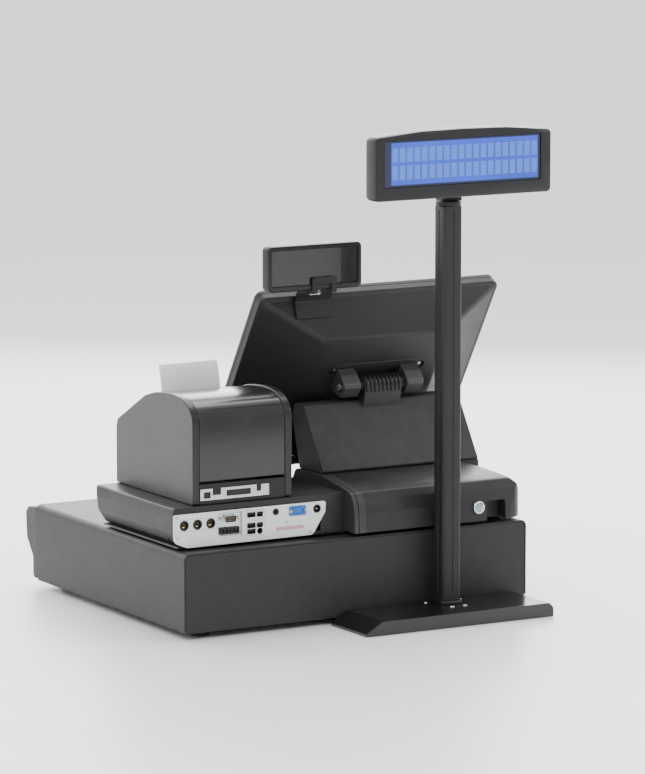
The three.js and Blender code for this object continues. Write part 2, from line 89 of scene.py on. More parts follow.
def new_obj(name, bm):
    bmesh.ops.remove_doubles(bm, verts=bm.verts, dist=1e-6)
    bmesh.ops.recalc_face_normals(bm, faces=bm.faces)
    me = bpy.data.meshes.new(name)
    bm.to_mesh(me); bm.free()
    o = bpy.data.objects.new(name, me)
    COL.objects.link(o)
    return o

def prism(name, pts, axis, c0, c1, seg=8, tf=None):
    """closed outline swept along an axis: x takes (Y,Z), y takes (X,Z), z takes (X,Y)"""
    o2 = outline(pts, seg)
    m = {"x": lambda a, b, c: (c, a, b), "y": lambda a, b, c: (a, c, b), "z": lambda a, b, c: (a, b, c)}[axis]
    f = tf or (lambda x, y, z: P(x, y, z))
    bm = bmesh.new()
    A = [bm.verts.new(f(*m(a, b, c0))) for a, b in o2]
    B = [bm.verts.new(f(*m(a, b, c1))) for a, b in o2]
    bm.faces.new(A); bm.faces.new(B[::-1])
    n = len(o2)
    for i in range(n):
        bm.faces.new((A[i], A[(i + 1) % n], B[(i + 1) % n], B[i]))
    return new_obj(name, bm)

def box(name, x0, x1, y0, y1, z0, z1, tf=None):
    return prism(name, rect(x0, x1, y0, y1), "z", z0, z1, tf=tf)

def loft(name, rings, closed_ends=True, tf=None):
    """rings: lists of (x,y,z) with the same length"""
    f = tf or (lambda x, y, z: P(x, y, z))
    bm = bmesh.new()
    R = [[bm.verts.new(f(*p)) for p in ring] for ring in rings]
    n = len(R[0])
    for a, b in zip(R, R[1:]):
        for i in range(n):
            bm.faces.new((a[i], a[(i + 1) % n], b[(i + 1) % n], b[i]))
    if closed_ends:
        bm.faces.new(R[0][::-1]); bm.faces.new(R[-1])
    return new_obj(name, bm)

def lathe(name, prof, axis, cx, cy, cz, seg=48, tf=None):
    """prof: (radius, along) from axis to axis; axis x, y or z through (cx, cy, cz), along measured from there"""
    f = tf or (lambda x, y, z: P(x, y, z))
    bm = bmesh.new()
    rings = []
    for r, t in prof:
        if r < 1e-6:
            pt = {"x": (cx + t, cy, cz), "y": (cx, cy + t, cz), "z": (cx, cy, cz + t)}[axis]
            rings.append([bm.verts.new(f(*pt))])
        else:
            ring = []
            for k in range(seg):
                a = 2 * math.pi * k / seg; c, s = r * math.cos(a), r * math.sin(a)
                pt = {"x": (cx + t, cy + c, cz + s), "y": (cx + s, cy + t, cz + c), "z": (cx + c, cy + s, cz + t)}[axis]
                ring.append(bm.verts.new(f(*pt)))
            rings.append(ring)
    for a, b in zip(rings, rings[1:]):
        for i in range(seg):
            j = (i + 1) % seg
            if len(a) == 1 and len(b) == 1: continue
            if len(a) == 1: bm.faces.new((a[0], b[j], b[i]))
            elif len(b) == 1: bm.faces.new((a[i], a[j], b[0]))
            else: bm.faces.new((a[i], a[j], b[j], b[i]))
    if len(rings[0]) > 1 and len(rings[-1]) > 1:      # a ring: close the profile
        a, b = rings[-1], rings[0]
        for i in range(seg):
            j = (i + 1) % seg
            bm.faces.new((a[i], a[j], b[j], b[i]))
    return new_obj(name, bm)

def disc(name, r, t0, t1, axis, cx, cy, cz, ch=0.3, seg=40, tf=None):
    """solid cylinder with small chamfers"""
    return lathe(name, [(0, t0), (r - ch, t0), (r, t0 + ch), (r, t1 - ch), (r - ch, t1), (0, t1)], axis, cx, cy, cz, seg, tf)

def boolean(o, others, op="DIFFERENCE"):
    for c in others:
        m = o.modifiers.new("b", "BOOLEAN"); m.operation = op; m.object = c; m.solver = "EXACT"
        bpy.context.view_layer.update()
        dg = bpy.context.evaluated_depsgraph_get()
        me = bpy.data.meshes.new_from_object(o.evaluated_get(dg))
        o.modifiers.clear()
        old = o.data; o.data = me; bpy.data.meshes.remove(old)
    for c in others:
        bpy.data.objects.remove(c)
    bm = bmesh.new(); bm.from_mesh(o.data)
    bmesh.ops.remove_doubles(bm, verts=bm.verts, dist=2e-6)
    bmesh.ops.dissolve_degenerate(bm, edges=bm.edges, dist=2e-6)
    bm.to_mesh(o.data); bm.free()
    return o

def merge(name, objs):
    """join finished pieces into one object"""
    bm = bmesh.new()
    for o in objs:
        bm.from_mesh(o.data)
        bpy.data.objects.remove(o)
    me = bpy.data.meshes.new(name); bm.to_mesh(me); bm.free()
    o = bpy.data.objects.new(name, me); COL.objects.link(o)
    return o

def finish(o, mat, body, bevel=0.6, seg=3, angle=30, rep=None, smooth=38, weld=False):
    o.data.materials.clear(); o.data.materials.append(mat)
    o.data.polygons.foreach_set("use_smooth", [True] * len(o.data.polygons))
    o.data.set_sharp_from_angle(angle=math.radians(smooth))
    if bevel:
        m = o.modifiers.new("edges", "BEVEL"); m.width = bevel / 1000; m.segments = seg
        m.limit_method = "ANGLE"; m.angle_limit = math.radians(angle); m.harden_normals = True
        m.miter_outer = "MITER_ARC"
    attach(o, body)
    if rep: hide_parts(*([rep] if isinstance(rep, str) else rep))
    return o

def dress(node, mat, bevel=0.5, seg=2, angle=32, dis=1.0):
    """a CAD node that stays: welded, its flats cleaned up, its edges broken, and a finished material"""
    o = NODES[node]
    o.data.materials.clear(); o.data.materials.append(mat)
    o.data.polygons.foreach_set("use_smooth", [True] * len(o.data.polygons))
    m = o.modifiers.new("weld", "WELD"); m.merge_threshold = 2e-6
    if dis:
        m = o.modifiers.new("flats", "DECIMATE"); m.decimate_type = "DISSOLVE"; m.angle_limit = math.radians(dis)
    if bevel:
        m = o.modifiers.new("edges", "BEVEL"); m.width = bevel / 1000; m.segments = seg
        m.limit_method = "ANGLE"; m.angle_limit = math.radians(angle); m.harden_normals = True
        m.miter_outer = "MITER_ARC"
    m = o.modifiers.new("wn", "WEIGHTED_NORMAL"); m.keep_sharp = True; m.weight = 60
    return o

# ------------------------------------------------------------------ materials
class N:
    def __init__(self, name):
        self.m = bpy.data.materials.new(name); self.m.use_nodes = True
        self.t = self.m.node_tree; self.t.nodes.clear()
        self.out = self.t.nodes.new("ShaderNodeOutputMaterial")
        self.b = self.t.nodes.new("ShaderNodeBsdfPrincipled")
        self.t.links.new(self.b.outputs[0], self.out.inputs[0])
        tc = self.t.nodes.new("ShaderNodeTexCoord"); self.co = tc.outputs["Object"]
    def node(self, kind, **kw):
        n = self.t.nodes.new(kind)
        for k, v in kw.items(): setattr(n, k, v)
        return n
    def link(self, a, b): self.t.links.new(a, b)
    def setv(self, sock, v):
        if hasattr(v, "is_output") or isinstance(v, bpy.types.NodeSocket): self.link(v, sock)
        else: sock.default_value = v
    def noise(self, scale, detail=3, rough=0.5, co=None, stretch=None):
        src = co or self.co
        if stretch:
            mp = self.node("ShaderNodeMapping"); mp.inputs["Scale"].default_value = stretch
            self.link(src, mp.inputs[0]); src = mp.outputs[0]
        n = self.node("ShaderNodeTexNoise"); n.inputs["Scale"].default_value = scale
        n.inputs["Detail"].default_value = detail; n.inputs["Roughness"].default_value = rough
        self.link(src, n.inputs["Vector"]); return n.outputs[0]
    def math(self, op, a, b=0.0, c=0.0, clamp=False):
        n = self.node("ShaderNodeMath", operation=op, use_clamp=clamp)
        for i, v in enumerate((a, b, c)): self.setv(n.inputs[i], v)
        return n.outputs[0]
    def ramp(self, fac, stops, interp="LINEAR"):
        n = self.node("ShaderNodeValToRGB"); n.color_ramp.interpolation = interp
        e = n.color_ramp.elements
        while len(e) > 1: e.remove(e[-1])
        e[0].position, e[0].color = stops[0][0], stops[0][1]
        for p, c in stops[1:]:
            k = e.new(p); k.color = c
        self.link(fac, n.inputs[0]); return n.outputs[0]
    def mix(self, fac, a, b, mode="MIX"):
        n = self.node("ShaderNodeMix", data_type="RGBA", blend_type=mode)
        self.setv(n.inputs["Factor"], fac)
        for s, v in ((n.inputs[6], a), (n.inputs[7], b)): self.setv(s, v)
        return n.outputs[2]
    def bump(self, h, strength, dist=0.0004, normal=None):
        n = self.node("ShaderNodeBump"); n.inputs["Strength"].default_value = strength; n.inputs["Distance"].default_value = dist
        self.link(h, n.inputs["Height"])
        if normal is not None: self.link(normal, n.inputs["Normal"])
        return n.outputs[0]
    def up(self):
        g = self.node("ShaderNodeNewGeometry"); s = self.node("ShaderNodeSeparateXYZ"); self.link(g.outputs["Normal"], s.inputs[0])
        return s.outputs[2]
    def edge(self):
        g = self.node("ShaderNodeNewGeometry"); return g.outputs["Pointiness"]

def c4(c, k=1.0): return (c[0] * k, c[1] * k, c[2] * k, 1)

def plastic(name, col, rough=0.5, grain=1500, bump=0.25, var=0.10, dust=0.10, wear=0.25, coat=0.0, dist=0.0002, spec=0.5):
    n = N(name)
    big = n.noise(9, 4); mid = n.noise(60, 4, 0.6); fine = n.noise(grain, 2, 0.6)
    base = n.mix(n.ramp(big, [(0.3, (0, 0, 0, 1)), (0.7, (1, 1, 1, 1))]), c4(col, 1 - var), c4(col, 1 + var))
    base = n.mix(n.math("MULTIPLY", n.ramp(fine, [(0.42, (0, 0, 0, 1)), (0.62, (1, 1, 1, 1))]), 0.35), base, c4(col, 1.25))
    if wear:
        e = n.ramp(n.edge(), [(0.515, (0, 0, 0, 1)), (0.60, (1, 1, 1, 1))])
        e = n.math("MULTIPLY", n.math("MULTIPLY", e, n.ramp(mid, [(0.35, (0.25,) * 3 + (1,)), (0.65, (1, 1, 1, 1))])), wear)
        base = n.mix(e, base, c4([min(1, c * 2.2 + 0.02) for c in col]))
    if dust:
        u = n.ramp(n.up(), [(0.45, (0, 0, 0, 1)), (0.95, (1, 1, 1, 1))])
        d = n.math("MULTIPLY", n.math("MULTIPLY", u, n.ramp(n.noise(22, 6, 0.65), [(0.35, (0, 0, 0, 1)), (0.75, (1, 1, 1, 1))])), dust)
        base = n.mix(d, base, (0.22, 0.215, 0.205, 1))
    n.link(base, n.b.inputs["Base Color"])
    r = n.math("ADD", n.math("MULTIPLY", n.math("SUBTRACT", mid, 0.5), 0.22), rough)
    r = n.math("ADD", r, n.math("MULTIPLY", n.math("SUBTRACT", fine, 0.5), 0.12), clamp=True)
    n.link(r, n.b.inputs["Roughness"])
    h = n.math("ADD", fine, n.math("MULTIPLY", n.noise(grain * 0.35, 2), 0.6))
    n.link(n.bump(h, bump, dist), n.b.inputs["Normal"])
    n.b.inputs["Specular IOR Level"].default_value = spec
    if coat:
        n.b.inputs["Coat Weight"].default_value = coat; n.b.inputs["Coat Roughness"].default_value = 0.06
    return n.m

def gloss(name, col, rough=0.12, coat=0.6, smudge=0.10):
    n = N(name)
    s = n.noise(14, 5, 0.6); f = n.noise(180, 3, 0.6, stretch=(1, 0.25, 1))
    n.link(n.mix(n.ramp(s, [(0.35, (0, 0, 0, 1)), (0.7, (1, 1, 1, 1))]), c4(col, 0.9), c4(col, 1.15)), n.b.inputs["Base Color"])
    r = n.math("ADD", n.math("MULTIPLY", n.ramp(s, [(0.45, (0, 0, 0, 1)), (0.75, (1, 1, 1, 1))]), smudge), n.math("ADD", n.math("MULTIPLY", f, 0.05), rough), clamp=True)
    n.link(r, n.b.inputs["Roughness"])
    n.link(n.bump(n.noise(35, 2), 0.05, 0.0004), n.b.inputs["Normal"])
    n.b.inputs["Coat Weight"].default_value = coat; n.b.inputs["Coat Roughness"].default_value = 0.05
    return n.m

def powder(name, col, rough=0.48, spec=0.5):
    """powder-coated sheet steel: fine orange peel, faint mottling, chips along edges, dust on top"""
    n = N(name)
    peel = n.noise(620, 3, 0.55); big = n.noise(5, 4); mid = n.noise(75, 5, 0.6)
    base = n.mix(n.ramp(big, [(0.3, (0, 0, 0, 1)), (0.7, (1, 1, 1, 1))]), c4(col, 0.9), c4(col, 1.12))
    base = n.mix(n.math("MULTIPLY", n.ramp(peel, [(0.45, (0, 0, 0, 1)), (0.65, (1, 1, 1, 1))]), 0.3), base, c4(col, 1.3))
    scr = n.ramp(n.noise(240, 4, 0.7, stretch=(0.05, 1, 1)), [(0.66, (0, 0, 0, 1)), (0.69, (1, 1, 1, 1))])
    base = n.mix(n.math("MULTIPLY", n.math("MULTIPLY", scr, n.ramp(mid, [(0.55, (0, 0, 0, 1)), (0.7, (1, 1, 1, 1))])), 0.35), base, c4(col, 2.0))
    e = n.ramp(n.edge(), [(0.52, (0, 0, 0, 1)), (0.62, (1, 1, 1, 1))])
    base = n.mix(n.math("MULTIPLY", n.math("MULTIPLY", e, mid), 0.4), base, (0.12, 0.12, 0.125, 1))
    u = n.ramp(n.up(), [(0.5, (0, 0, 0, 1)), (0.95, (1, 1, 1, 1))])
    base = n.mix(n.math("MULTIPLY", n.math("MULTIPLY", u, n.ramp(n.noise(16, 6, 0.7), [(0.35, (0, 0, 0, 1)), (0.8, (1, 1, 1, 1))])), 0.09), base, (0.24, 0.235, 0.225, 1))
    n.link(base, n.b.inputs["Base Color"])
    n.link(n.math("ADD", n.math("MULTIPLY", n.math("SUBTRACT", mid, 0.5), 0.25), rough, clamp=True), n.b.inputs["Roughness"])
    n.link(n.bump(peel, 0.35, 0.00025), n.b.inputs["Normal"])
    n.b.inputs["Specular IOR Level"].default_value = spec
    return n.m

def metal(name, col, rough=0.3, stretch=(1, 1, 1), scale=400, aniso=0.0, tarnish=0.15):
    n = N(name)
    b = n.noise(scale, 3, 0.6, stretch=stretch); t = n.noise(30, 5, 0.65)
    base = n.mix(n.ramp(b, [(0.35, (0, 0, 0, 1)), (0.65, (1, 1, 1, 1))]), c4(col, 0.88), c4(col, 1.06))
    base = n.mix(n.math("MULTIPLY", n.ramp(t, [(0.5, (0, 0, 0, 1)), (0.75, (1, 1, 1, 1))]), tarnish), base, c4(col, 0.55))
    n.link(base, n.b.inputs["Base Color"])
    n.b.inputs["Metallic"].default_value = 1.0
    n.link(n.math("ADD", n.math("MULTIPLY", n.math("SUBTRACT", n.math("ADD", b, t), 1.0), 0.25), rough, clamp=True), n.b.inputs["Roughness"])
    n.link(n.bump(b, 0.12, 0.0002), n.b.inputs["Normal"])
    return n.m

def rubber(name, col=(0.022, 0.022, 0.023)):
    n = N(name)
    f = n.noise(900, 3); d = n.noise(40, 5, 0.6)
    n.link(n.mix(n.math("MULTIPLY", n.ramp(d, [(0.45, (0, 0, 0, 1)), (0.8, (1, 1, 1, 1))]), 0.35), c4(col), (0.12, 0.115, 0.11, 1)), n.b.inputs["Base Color"])
    n.link(n.math("ADD", n.math("MULTIPLY", d, 0.2), 0.68, clamp=True), n.b.inputs["Roughness"])
    n.link(n.bump(f, 0.3, 0.0002), n.b.inputs["Normal"]); return n.m

def paper(name):
    n = N(name)
    f = n.noise(700, 5, 0.7); b = n.noise(25, 3)
    n.link(n.mix(n.ramp(b, [(0.3, (0, 0, 0, 1)), (0.7, (1, 1, 1, 1))]), (0.80, 0.80, 0.79, 1), (0.87, 0.87, 0.86, 1)), n.b.inputs["Base Color"])
    n.link(n.math("ADD", n.math("MULTIPLY", f, 0.15), 0.55, clamp=True), n.b.inputs["Roughness"])
    n.link(n.bump(f, 0.2, 0.0001), n.b.inputs["Normal"])
    n.b.inputs["Subsurface Weight"].default_value = 0.15; n.b.inputs["Subsurface Radius"].default_value = (0.002, 0.002, 0.002)
    return n.m

def lit(n, colour, strength):
    n.setv(n.b.inputs["Emission Color"], colour); n.b.inputs["Emission Strength"].default_value = strength

def box_mask(n, axis_out, lo, hi):
    a = n.math("GREATER_THAN", axis_out, lo); b = n.math("LESS_THAN", axis_out, hi)
    return n.math("MULTIPLY", a, b)

MAT = dict(
    steel=powder("powder_coat", (0.0150, 0.0150, 0.0157), spec=0.34),
    front=plastic("drawer_front_moulding", (0.012, 0.012, 0.013), spec=0.38, rough=0.42, grain=1100, dust=0.12),
    case=plastic("case_plastic", (0.0145, 0.0145, 0.0155), spec=0.34, rough=0.46, grain=1300),
    case2=plastic("case_plastic_light", (0.026, 0.026, 0.0275), spec=0.40, rough=0.42, grain=1300),
    column=plastic("column_plastic", (0.0185, 0.0185, 0.0195), spec=0.36, rough=0.46, grain=1200),
    warm=plastic("printer_shell", (0.042, 0.036, 0.0355), spec=0.40, rough=0.44, grain=1250, var=0.06),
    dark=plastic("dark_plastic", (0.0085, 0.0085, 0.0095), spec=0.38, rough=0.40, grain=1400, dust=0.08),
    hole=plastic("socket_black", (0.006, 0.006, 0.007), rough=0.6, grain=900, dust=0, wear=0),
    lid=gloss("lid_polished", (0.010, 0.010, 0.011), rough=0.20, coat=0.3),
    base=gloss("pole_foot_polished", (0.008, 0.008, 0.009), rough=0.16, coat=0.4),
    button=gloss("button_polished", (0.02, 0.02, 0.022), rough=0.2),
    head=plastic("head_plastic", (0.011, 0.011, 0.0125), spec=0.38, rough=0.38, grain=1400, dust=0.06),
    white=plastic("connector_enamel", (0.74, 0.77, 0.755), rough=0.36, grain=800, var=0.03, bump=0.1, dust=0.05, wear=0.0),
    pink=plastic("strip_pink", (0.62, 0.30, 0.40), rough=0.5, grain=900, wear=0),
    blue=plastic("video_blue", (0.035, 0.16, 0.50), rough=0.35, grain=1200, var=0.05, dust=0.03, wear=0.2),
    till=plastic("till_moulding", (0.016, 0.016, 0.017), rough=0.5, grain=900, dust=0.12),
    zinc=metal("zinc_plate", (0.40, 0.405, 0.41), 0.38, scale=120, tarnish=0.3),
    nickel=metal("nickel_shell", (0.58, 0.58, 0.58), 0.26, scale=600),
    chrome=metal("chrome", (0.82, 0.83, 0.85), 0.10, scale=300, tarnish=0.05),
    gold=metal("contact_gold", (0.80, 0.60, 0.28), 0.25, scale=900),
    knuckle=plastic("knuckle_grey", (0.034, 0.034, 0.0355), rough=0.4, grain=1200),
    rubber=rubber("rubber"),
    paper=paper("thermal_paper"),
    pcb=plastic("solder_resist", (0.018, 0.085, 0.045), rough=0.35, grain=500),
)

# lit customer display: 2 rows of 20 character cells, each a block of 5 x 7 dots behind a blue filter
def vfd_material():
    n = N("blue_display")
    s = n.node("ShaderNodeSeparateXYZ"); n.link(n.co, s.inputs[0])
    x0, x1 = OX - 0.2205, OX - 0.0145; z0, z1 = 0.5370, 0.5875
    fx = n.math("DIVIDE", n.math("SUBTRACT", s.outputs[0], x0), (x1 - x0) / 20)
    fz = n.math("DIVIDE", n.math("SUBTRACT", s.outputs[2], z0 + 0.004), (z1 - z0 - 0.008) / 2)
    cx = n.math("FRACT", fx); cz = n.math("FRACT", fz)
    cell = n.math("MULTIPLY", box_mask(n, cx, 0.14, 0.86), box_mask(n, cz, 0.10, 0.90))
    dx = n.math("FRACT", n.math("MULTIPLY", n.math("SUBTRACT", cx, 0.14), 5 / 0.72)); dz = n.math("FRACT", n.math("MULTIPLY", n.math("SUBTRACT", cz, 0.10), 7 / 0.80))
    dot = n.math("MULTIPLY", box_mask(n, dx, 0.12, 0.88), box_mask(n, dz, 0.12, 0.88))
    area = n.math("MULTIPLY", box_mask(n, s.outputs[0], x0, x1), box_mask(n, s.outputs[2], z0, z1))
    rowin = box_mask(n, s.outputs[2], z0 + 0.004, z1 - 0.004)
    lit_dots = n.math("MULTIPLY", n.math("MULTIPLY", cell, dot), n.math("MULTIPLY", area, rowin))
    glow = n.mix(n.ramp(n.noise(9, 2, stretch=(1, 1, 3)), [(0.3, (0, 0, 0, 1)), (0.7, (1, 1, 1, 1))]), (0.020, 0.085, 0.80, 1), (0.035, 0.13, 1.0, 1))
    col = n.mix(n.math("MULTIPLY", n.math("MULTIPLY", cell, n.math("MULTIPLY", area, rowin)), 0.55), glow, (0.07, 0.22, 1.0, 1))
    col = n.mix(lit_dots, col, (0.13, 0.34, 1.0, 1))
    col = n.mix(area, (0.004, 0.006, 0.020, 1), col)
    n.setv(n.b.inputs["Base Color"], (0.010, 0.016, 0.05, 1))
    n.link(n.math("ADD", n.math("MULTIPLY", n.noise(50, 3), 0.04), 0.05), n.b.inputs["Roughness"])
    lit(n, col, 1.15)
    n.b.inputs["Coat Weight"].default_value = 0.25; n.b.inputs["Coat Roughness"].default_value = 0.06
    return n.m

def dark_glass(name, col=(0.012, 0.013, 0.016), rough=0.06):
    n = N(name)
    s = n.noise(18, 5, 0.6)
    n.link(n.mix(s, c4(col, 0.8), c4(col, 1.3)), n.b.inputs["Base Color"])
    n.link(n.math("ADD", n.math("MULTIPLY", n.ramp(s, [(0.45, (0, 0, 0, 1)), (0.8, (1, 1, 1, 1))]), 0.10), rough), n.b.inputs["Roughness"])
    n.b.inputs["Coat Weight"].default_value = 0.7; n.b.inputs["Coat Roughness"].default_value = 0.03
    return n.m
def cheek_painted_light_material():
    """warm grey side faces and a darker rim, split by facing direction: painted light on the sideways faces, painted
    shade on the rim
    """
    n = N("printer_cheek")
    g = n.node("ShaderNodeNewGeometry"); s = n.node("ShaderNodeSeparateXYZ"); n.link(g.outputs["True Normal"], s.inputs[0])
    # painted light and shade: faces pointing along x get the lighter warm colour, every other face the darker one
    painted_lit_side_mask = n.ramp(n.math("ABSOLUTE", s.outputs[0]), [(0.80, (0, 0, 0, 1)), (0.97, (1, 1, 1, 1))])
    big = n.noise(9, 4); mid = n.noise(60, 4, 0.6); fine = n.noise(1250, 2, 0.6)
    warm = n.mix(n.ramp(big, [(0.3, (0, 0, 0, 1)), (0.7, (1, 1, 1, 1))]), (0.050, 0.0435, 0.0430, 1), (0.060, 0.0525, 0.0515, 1))
    warm = n.mix(n.math("MULTIPLY", n.ramp(fine, [(0.42, (0, 0, 0, 1)), (0.62, (1, 1, 1, 1))]), 0.35), warm, (0.070, 0.062, 0.061, 1))
    dark = n.mix(mid, (0.010, 0.010, 0.011, 1), (0.015, 0.015, 0.016, 1))
    n.link(n.mix(painted_lit_side_mask, dark, warm), n.b.inputs["Base Color"])
    n.link(n.math("ADD", n.math("MULTIPLY", n.math("SUBTRACT", mid, 0.5), 0.2), n.math("MULTIPLY_ADD", painted_lit_side_mask, 0.12, 0.30), clamp=True), n.b.inputs["Roughness"])
    n.link(n.bump(fine, 0.25, 0.0002), n.b.inputs["Normal"]); n.b.inputs["Specular IOR Level"].default_value = 0.4
    return n.m
MAT["cheek"] = cheek_painted_light_material()
MAT["vfd"] = vfd_material()
MAT["glass"] = dark_glass("display_glass", (0.010, 0.0105, 0.012), 0.24)

# touch screen: a lit, wordless grid of tiles behind anti-glare glass
def screen_material():
    n = N("touch_screen")
    s = n.node("ShaderNodeSeparateXYZ"); n.link(n.co, s.inputs[0])
    lo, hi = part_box("touch_glass")
    u = n.math("DIVIDE", n.math("SUBTRACT", s.outputs[0], lo.x), hi.x - lo.x)
    v = n.math("DIVIDE", n.math("SUBTRACT", s.outputs[2], lo.z), hi.z - lo.z)
    gx = n.math("MULTIPLY", n.math("SUBTRACT", u, 0.40), 5 / 0.58); gy = n.math("MULTIPLY", n.math("SUBTRACT", v, 0.04), 6 / 0.80)
    fx, fy = n.math("FRACT", gx), n.math("FRACT", gy)
    tile = n.math("MULTIPLY", box_mask(n, fx, 0.05, 0.95), box_mask(n, fy, 0.07, 0.93))
    tile = n.math("MULTIPLY", tile, n.math("MULTIPLY", box_mask(n, u, 0.40, 0.98), box_mask(n, v, 0.04, 0.84)))
    wn = n.node("ShaderNodeTexWhiteNoise", noise_dimensions="2D")
    cmb = n.node("ShaderNodeCombineXYZ"); n.link(n.math("FLOOR", gx), cmb.inputs[0]); n.link(n.math("FLOOR", gy), cmb.inputs[1]); n.link(cmb.outputs[0], wn.inputs["Vector"])
    hue = n.ramp(wn.outputs[0], [(0.0, (0.05, 0.16, 0.30, 1)), (0.25, (0.07, 0.25, 0.16, 1)), (0.45, (0.33, 0.20, 0.06, 1)), (0.62, (0.16, 0.17, 0.19, 1)), (0.82, (0.30, 0.07, 0.07, 1))], "CONSTANT")
    col = n.mix(tile, (0.018, 0.022, 0.030, 1), hue)
    rows = n.math("FRACT", n.math("MULTIPLY", v, 14))
    listing = n.math("MULTIPLY", box_mask(n, u, 0.03, 0.37), box_mask(n, v, 0.18, 0.95))
    col = n.mix(listing, col, (0.30, 0.31, 0.32, 1))
    line = n.math("MULTIPLY", n.math("MULTIPLY", box_mask(n, rows, 0.86, 0.92), listing), 1.0)
    col = n.mix(line, col, (0.10, 0.10, 0.11, 1))
    total = n.math("MULTIPLY", box_mask(n, u, 0.03, 0.37), box_mask(n, v, 0.04, 0.155))
    col = n.mix(total, col, (0.06, 0.22, 0.12, 1))
    n.setv(n.b.inputs["Base Color"], (0.010, 0.011, 0.013, 1))
    n.link(n.math("ADD", n.math("MULTIPLY", n.noise(20, 5), 0.10), 0.16), n.b.inputs["Roughness"])
    lit(n, col, 1.5)
    n.b.inputs["Specular IOR Level"].default_value = 0.12
    return n.m
MAT["screen"] = screen_material()

M = MAT
# ================================================================== cash drawer
o = prism("drawer_cover_skin", [(-240, 11), (-240, 105, 8), (240, 105, 8), (240, 11), (238, 11), (238, 103, 6), (-238, 103, 6), (-238, 11)], "y", -196, 201, 14)
finish(o, M["steel"], "housing", bevel=0.45, seg=2, rep="drawer_cover")
dress("drawer_floor", M["steel"], 0.4)
for i in range(1, 5):
    lo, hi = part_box(f"drawer_foot_{i}"); cx, cy = ((lo.x + hi.x) / 2 - OX) * 1000, ((lo.y + hi.y) / 2 - OY) * 1000
    o = lathe(f"drawer_foot_pad_{i}", [(0, 2.2), (5.5, 2.2), (6.2, 1.4), (6.4, 0.3), (7, 0), (11.2, 0), (12, 0.8), (10.6, 7), (9.8, 7.7), (0, 7.7)], "z", cx, cy, 0)
    finish(o, M["rubber"], "housing", bevel=0, rep=f"drawer_foot_{i}")
o = prism("drawer_front_skin", [(-196.4, 10.5), (-203, 10.5, 2), (-206, 15, 2), (-206, 38, 5), (-223, 60, 7), (-225, 92, 6), (-218, 99.5, 4), (-196.4, 101.5)], "x", -239.5, 239.5, 10)
c1 = lathe("c1", [(0, -6), (9.6, -6), (9.6, 40), (0, 40)], "y", 0, -230, 78)
c2 = prism("c2", [(-46, 43.5, 3), (46, 43.5, 3), (43, 54, 3), (-43, 54, 3)], "y", -232, -209)
boolean(o, [c1, c2])
finish(o, M["front"], "drawer", bevel=0.8, seg=3, rep="drawer_front")
# lock: turned barrel with a keyway, in a bezel ring
o = lathe("lock_barrel", [(0, 29.5), (9, 29.5), (9, 1.2), (8.6, 0.6), (7.4, 0.2), (7.0, 0.9), (0, 0.9)], "y", 0, -226.5, 78, 56)
k = box("k", -1.0, 1.0, -232, -219, 73.6, 82.4); k2 = box("k2", -1.9, 1.9, -232, -221, 76.2, 79)
boolean(o, [k, k2]); finish(o, M["chrome"], "drawer_lock", bevel=0.12, seg=2, rep="drawer_lock")
ring = lathe("lock_bezel", [(9.3, 0.0), (11.6, 0.0), (12.4, 0.5), (12.4, 1.2), (11.8, 1.9), (9.3, 1.9)], "y", 0, -226.1, 78, 56)
finish(ring, M["nickel"], "drawer", bevel=0)
dress("drawer_pan", M["zinc"], 0.3); dress("till_insert", M["till"], 0.7, 2, dis=0)
for i in range(1, 5): dress(f"bill_clip_{i}", M["zinc"], 0.25)
for n_ in ("drawer_rail_left", "drawer_rail_right", "drawer_latch_housing", "drawer_latch_hook"): dress(n_, M["zinc"], 0.25)
dress("drawer_ejector_spring", M["nickel"], 0)

# ================================================================== terminal base
dress("terminal_chassis", M["steel"], 0.4)
HP = lambda o=0: [(-20 + o, 109.9), (-20 + o, 124, 4), (-6 + o, 130 - o, 8), (38 + o, 134 - o, 8), (60 + o / 2, 170 - o, 10),
                  (121 - o / 3, 170 - o, 34), (176 - o, 162 - o, 12), (193 - o, 158 - o, 7), (200.5 - o, 149 - o, 7), (204.5 - o, 133, 12), (205.5 - o, 109.9)]
o = prism("platform_skin", [(8.5, 109.9), (230, 109.9, 4), (241, 126, 14), (243.5, 144, 6), (243.5, 157, 4), (8.5, 157)], "y", -20, 179.5, 10)
# the bay keeps clear of the sloping outer wall
cutr = prism("cr", [(41, 113), (228.8, 113), (234.6, 121.5), (235.4, 126), (235.4, 147.4), (41, 147.4)], "y", 150, 190)
pb = lathe("pb", [(0, -5), (7.6, -5), (7.6, 12), (0, 12)], "y", 212, -20, 134)
boolean(o, [cutr, pb])
finish(o, M["case"], "housing", bevel=1.1, seg=3, rep="platform_cover")
# a dark sheet inside the platform's connector bay: painted shade, so that the panel's holes look into the dark
o = box("connector_bay_painted_shade", 41.4, 235, 150.4, 151.4, 113.4, 147); finish(o, M["hole"], "housing", bevel=0)
o = prism("hump_skin", HP(), "x", -240, -8.3, 10)
pl = prism("pl", [(-240, -20.2, 14), (-8.3, -20.2), (-8.3, 205.7), (-240, 205.7, 34)], "z", 100, 190, 14)
boolean(o, [pl], "INTERSECT")
sr = prism("sr", [(-240, 90), (-8.3, 90), (-8.3, 170.2)] + [(-184 - 56 * math.sin(math.radians(d)), 117.2 + 53 * math.cos(math.radians(d))) for d in range(0, 91, 5)], "y", -30, 215)
boolean(o, [sr], "INTERSECT")
sl = prism("sl", [(-207, 100), (-180, 100), (-180, 134, 4), (-207, 134, 4)], "y", 188, 215, 6)
boolean(o, [sl])
finish(o, M["case"], "housing", bevel=1.2, seg=3, rep="hump_cover", angle=35)
ck = [(y - 1 if y < 0 else (y + 1 if y > 190 else y),) + (z,) + tuple(r) for y, z, *r in HP()]
o = prism("cheek_skin", ck, "x", -8, 8.2, 10)
g1 = prism("g1", [(a - 0, b) for a, b in [(-40, 90), (-40, 190), (230, 190), (230, 90)]], "x", 1.6, 2.4)
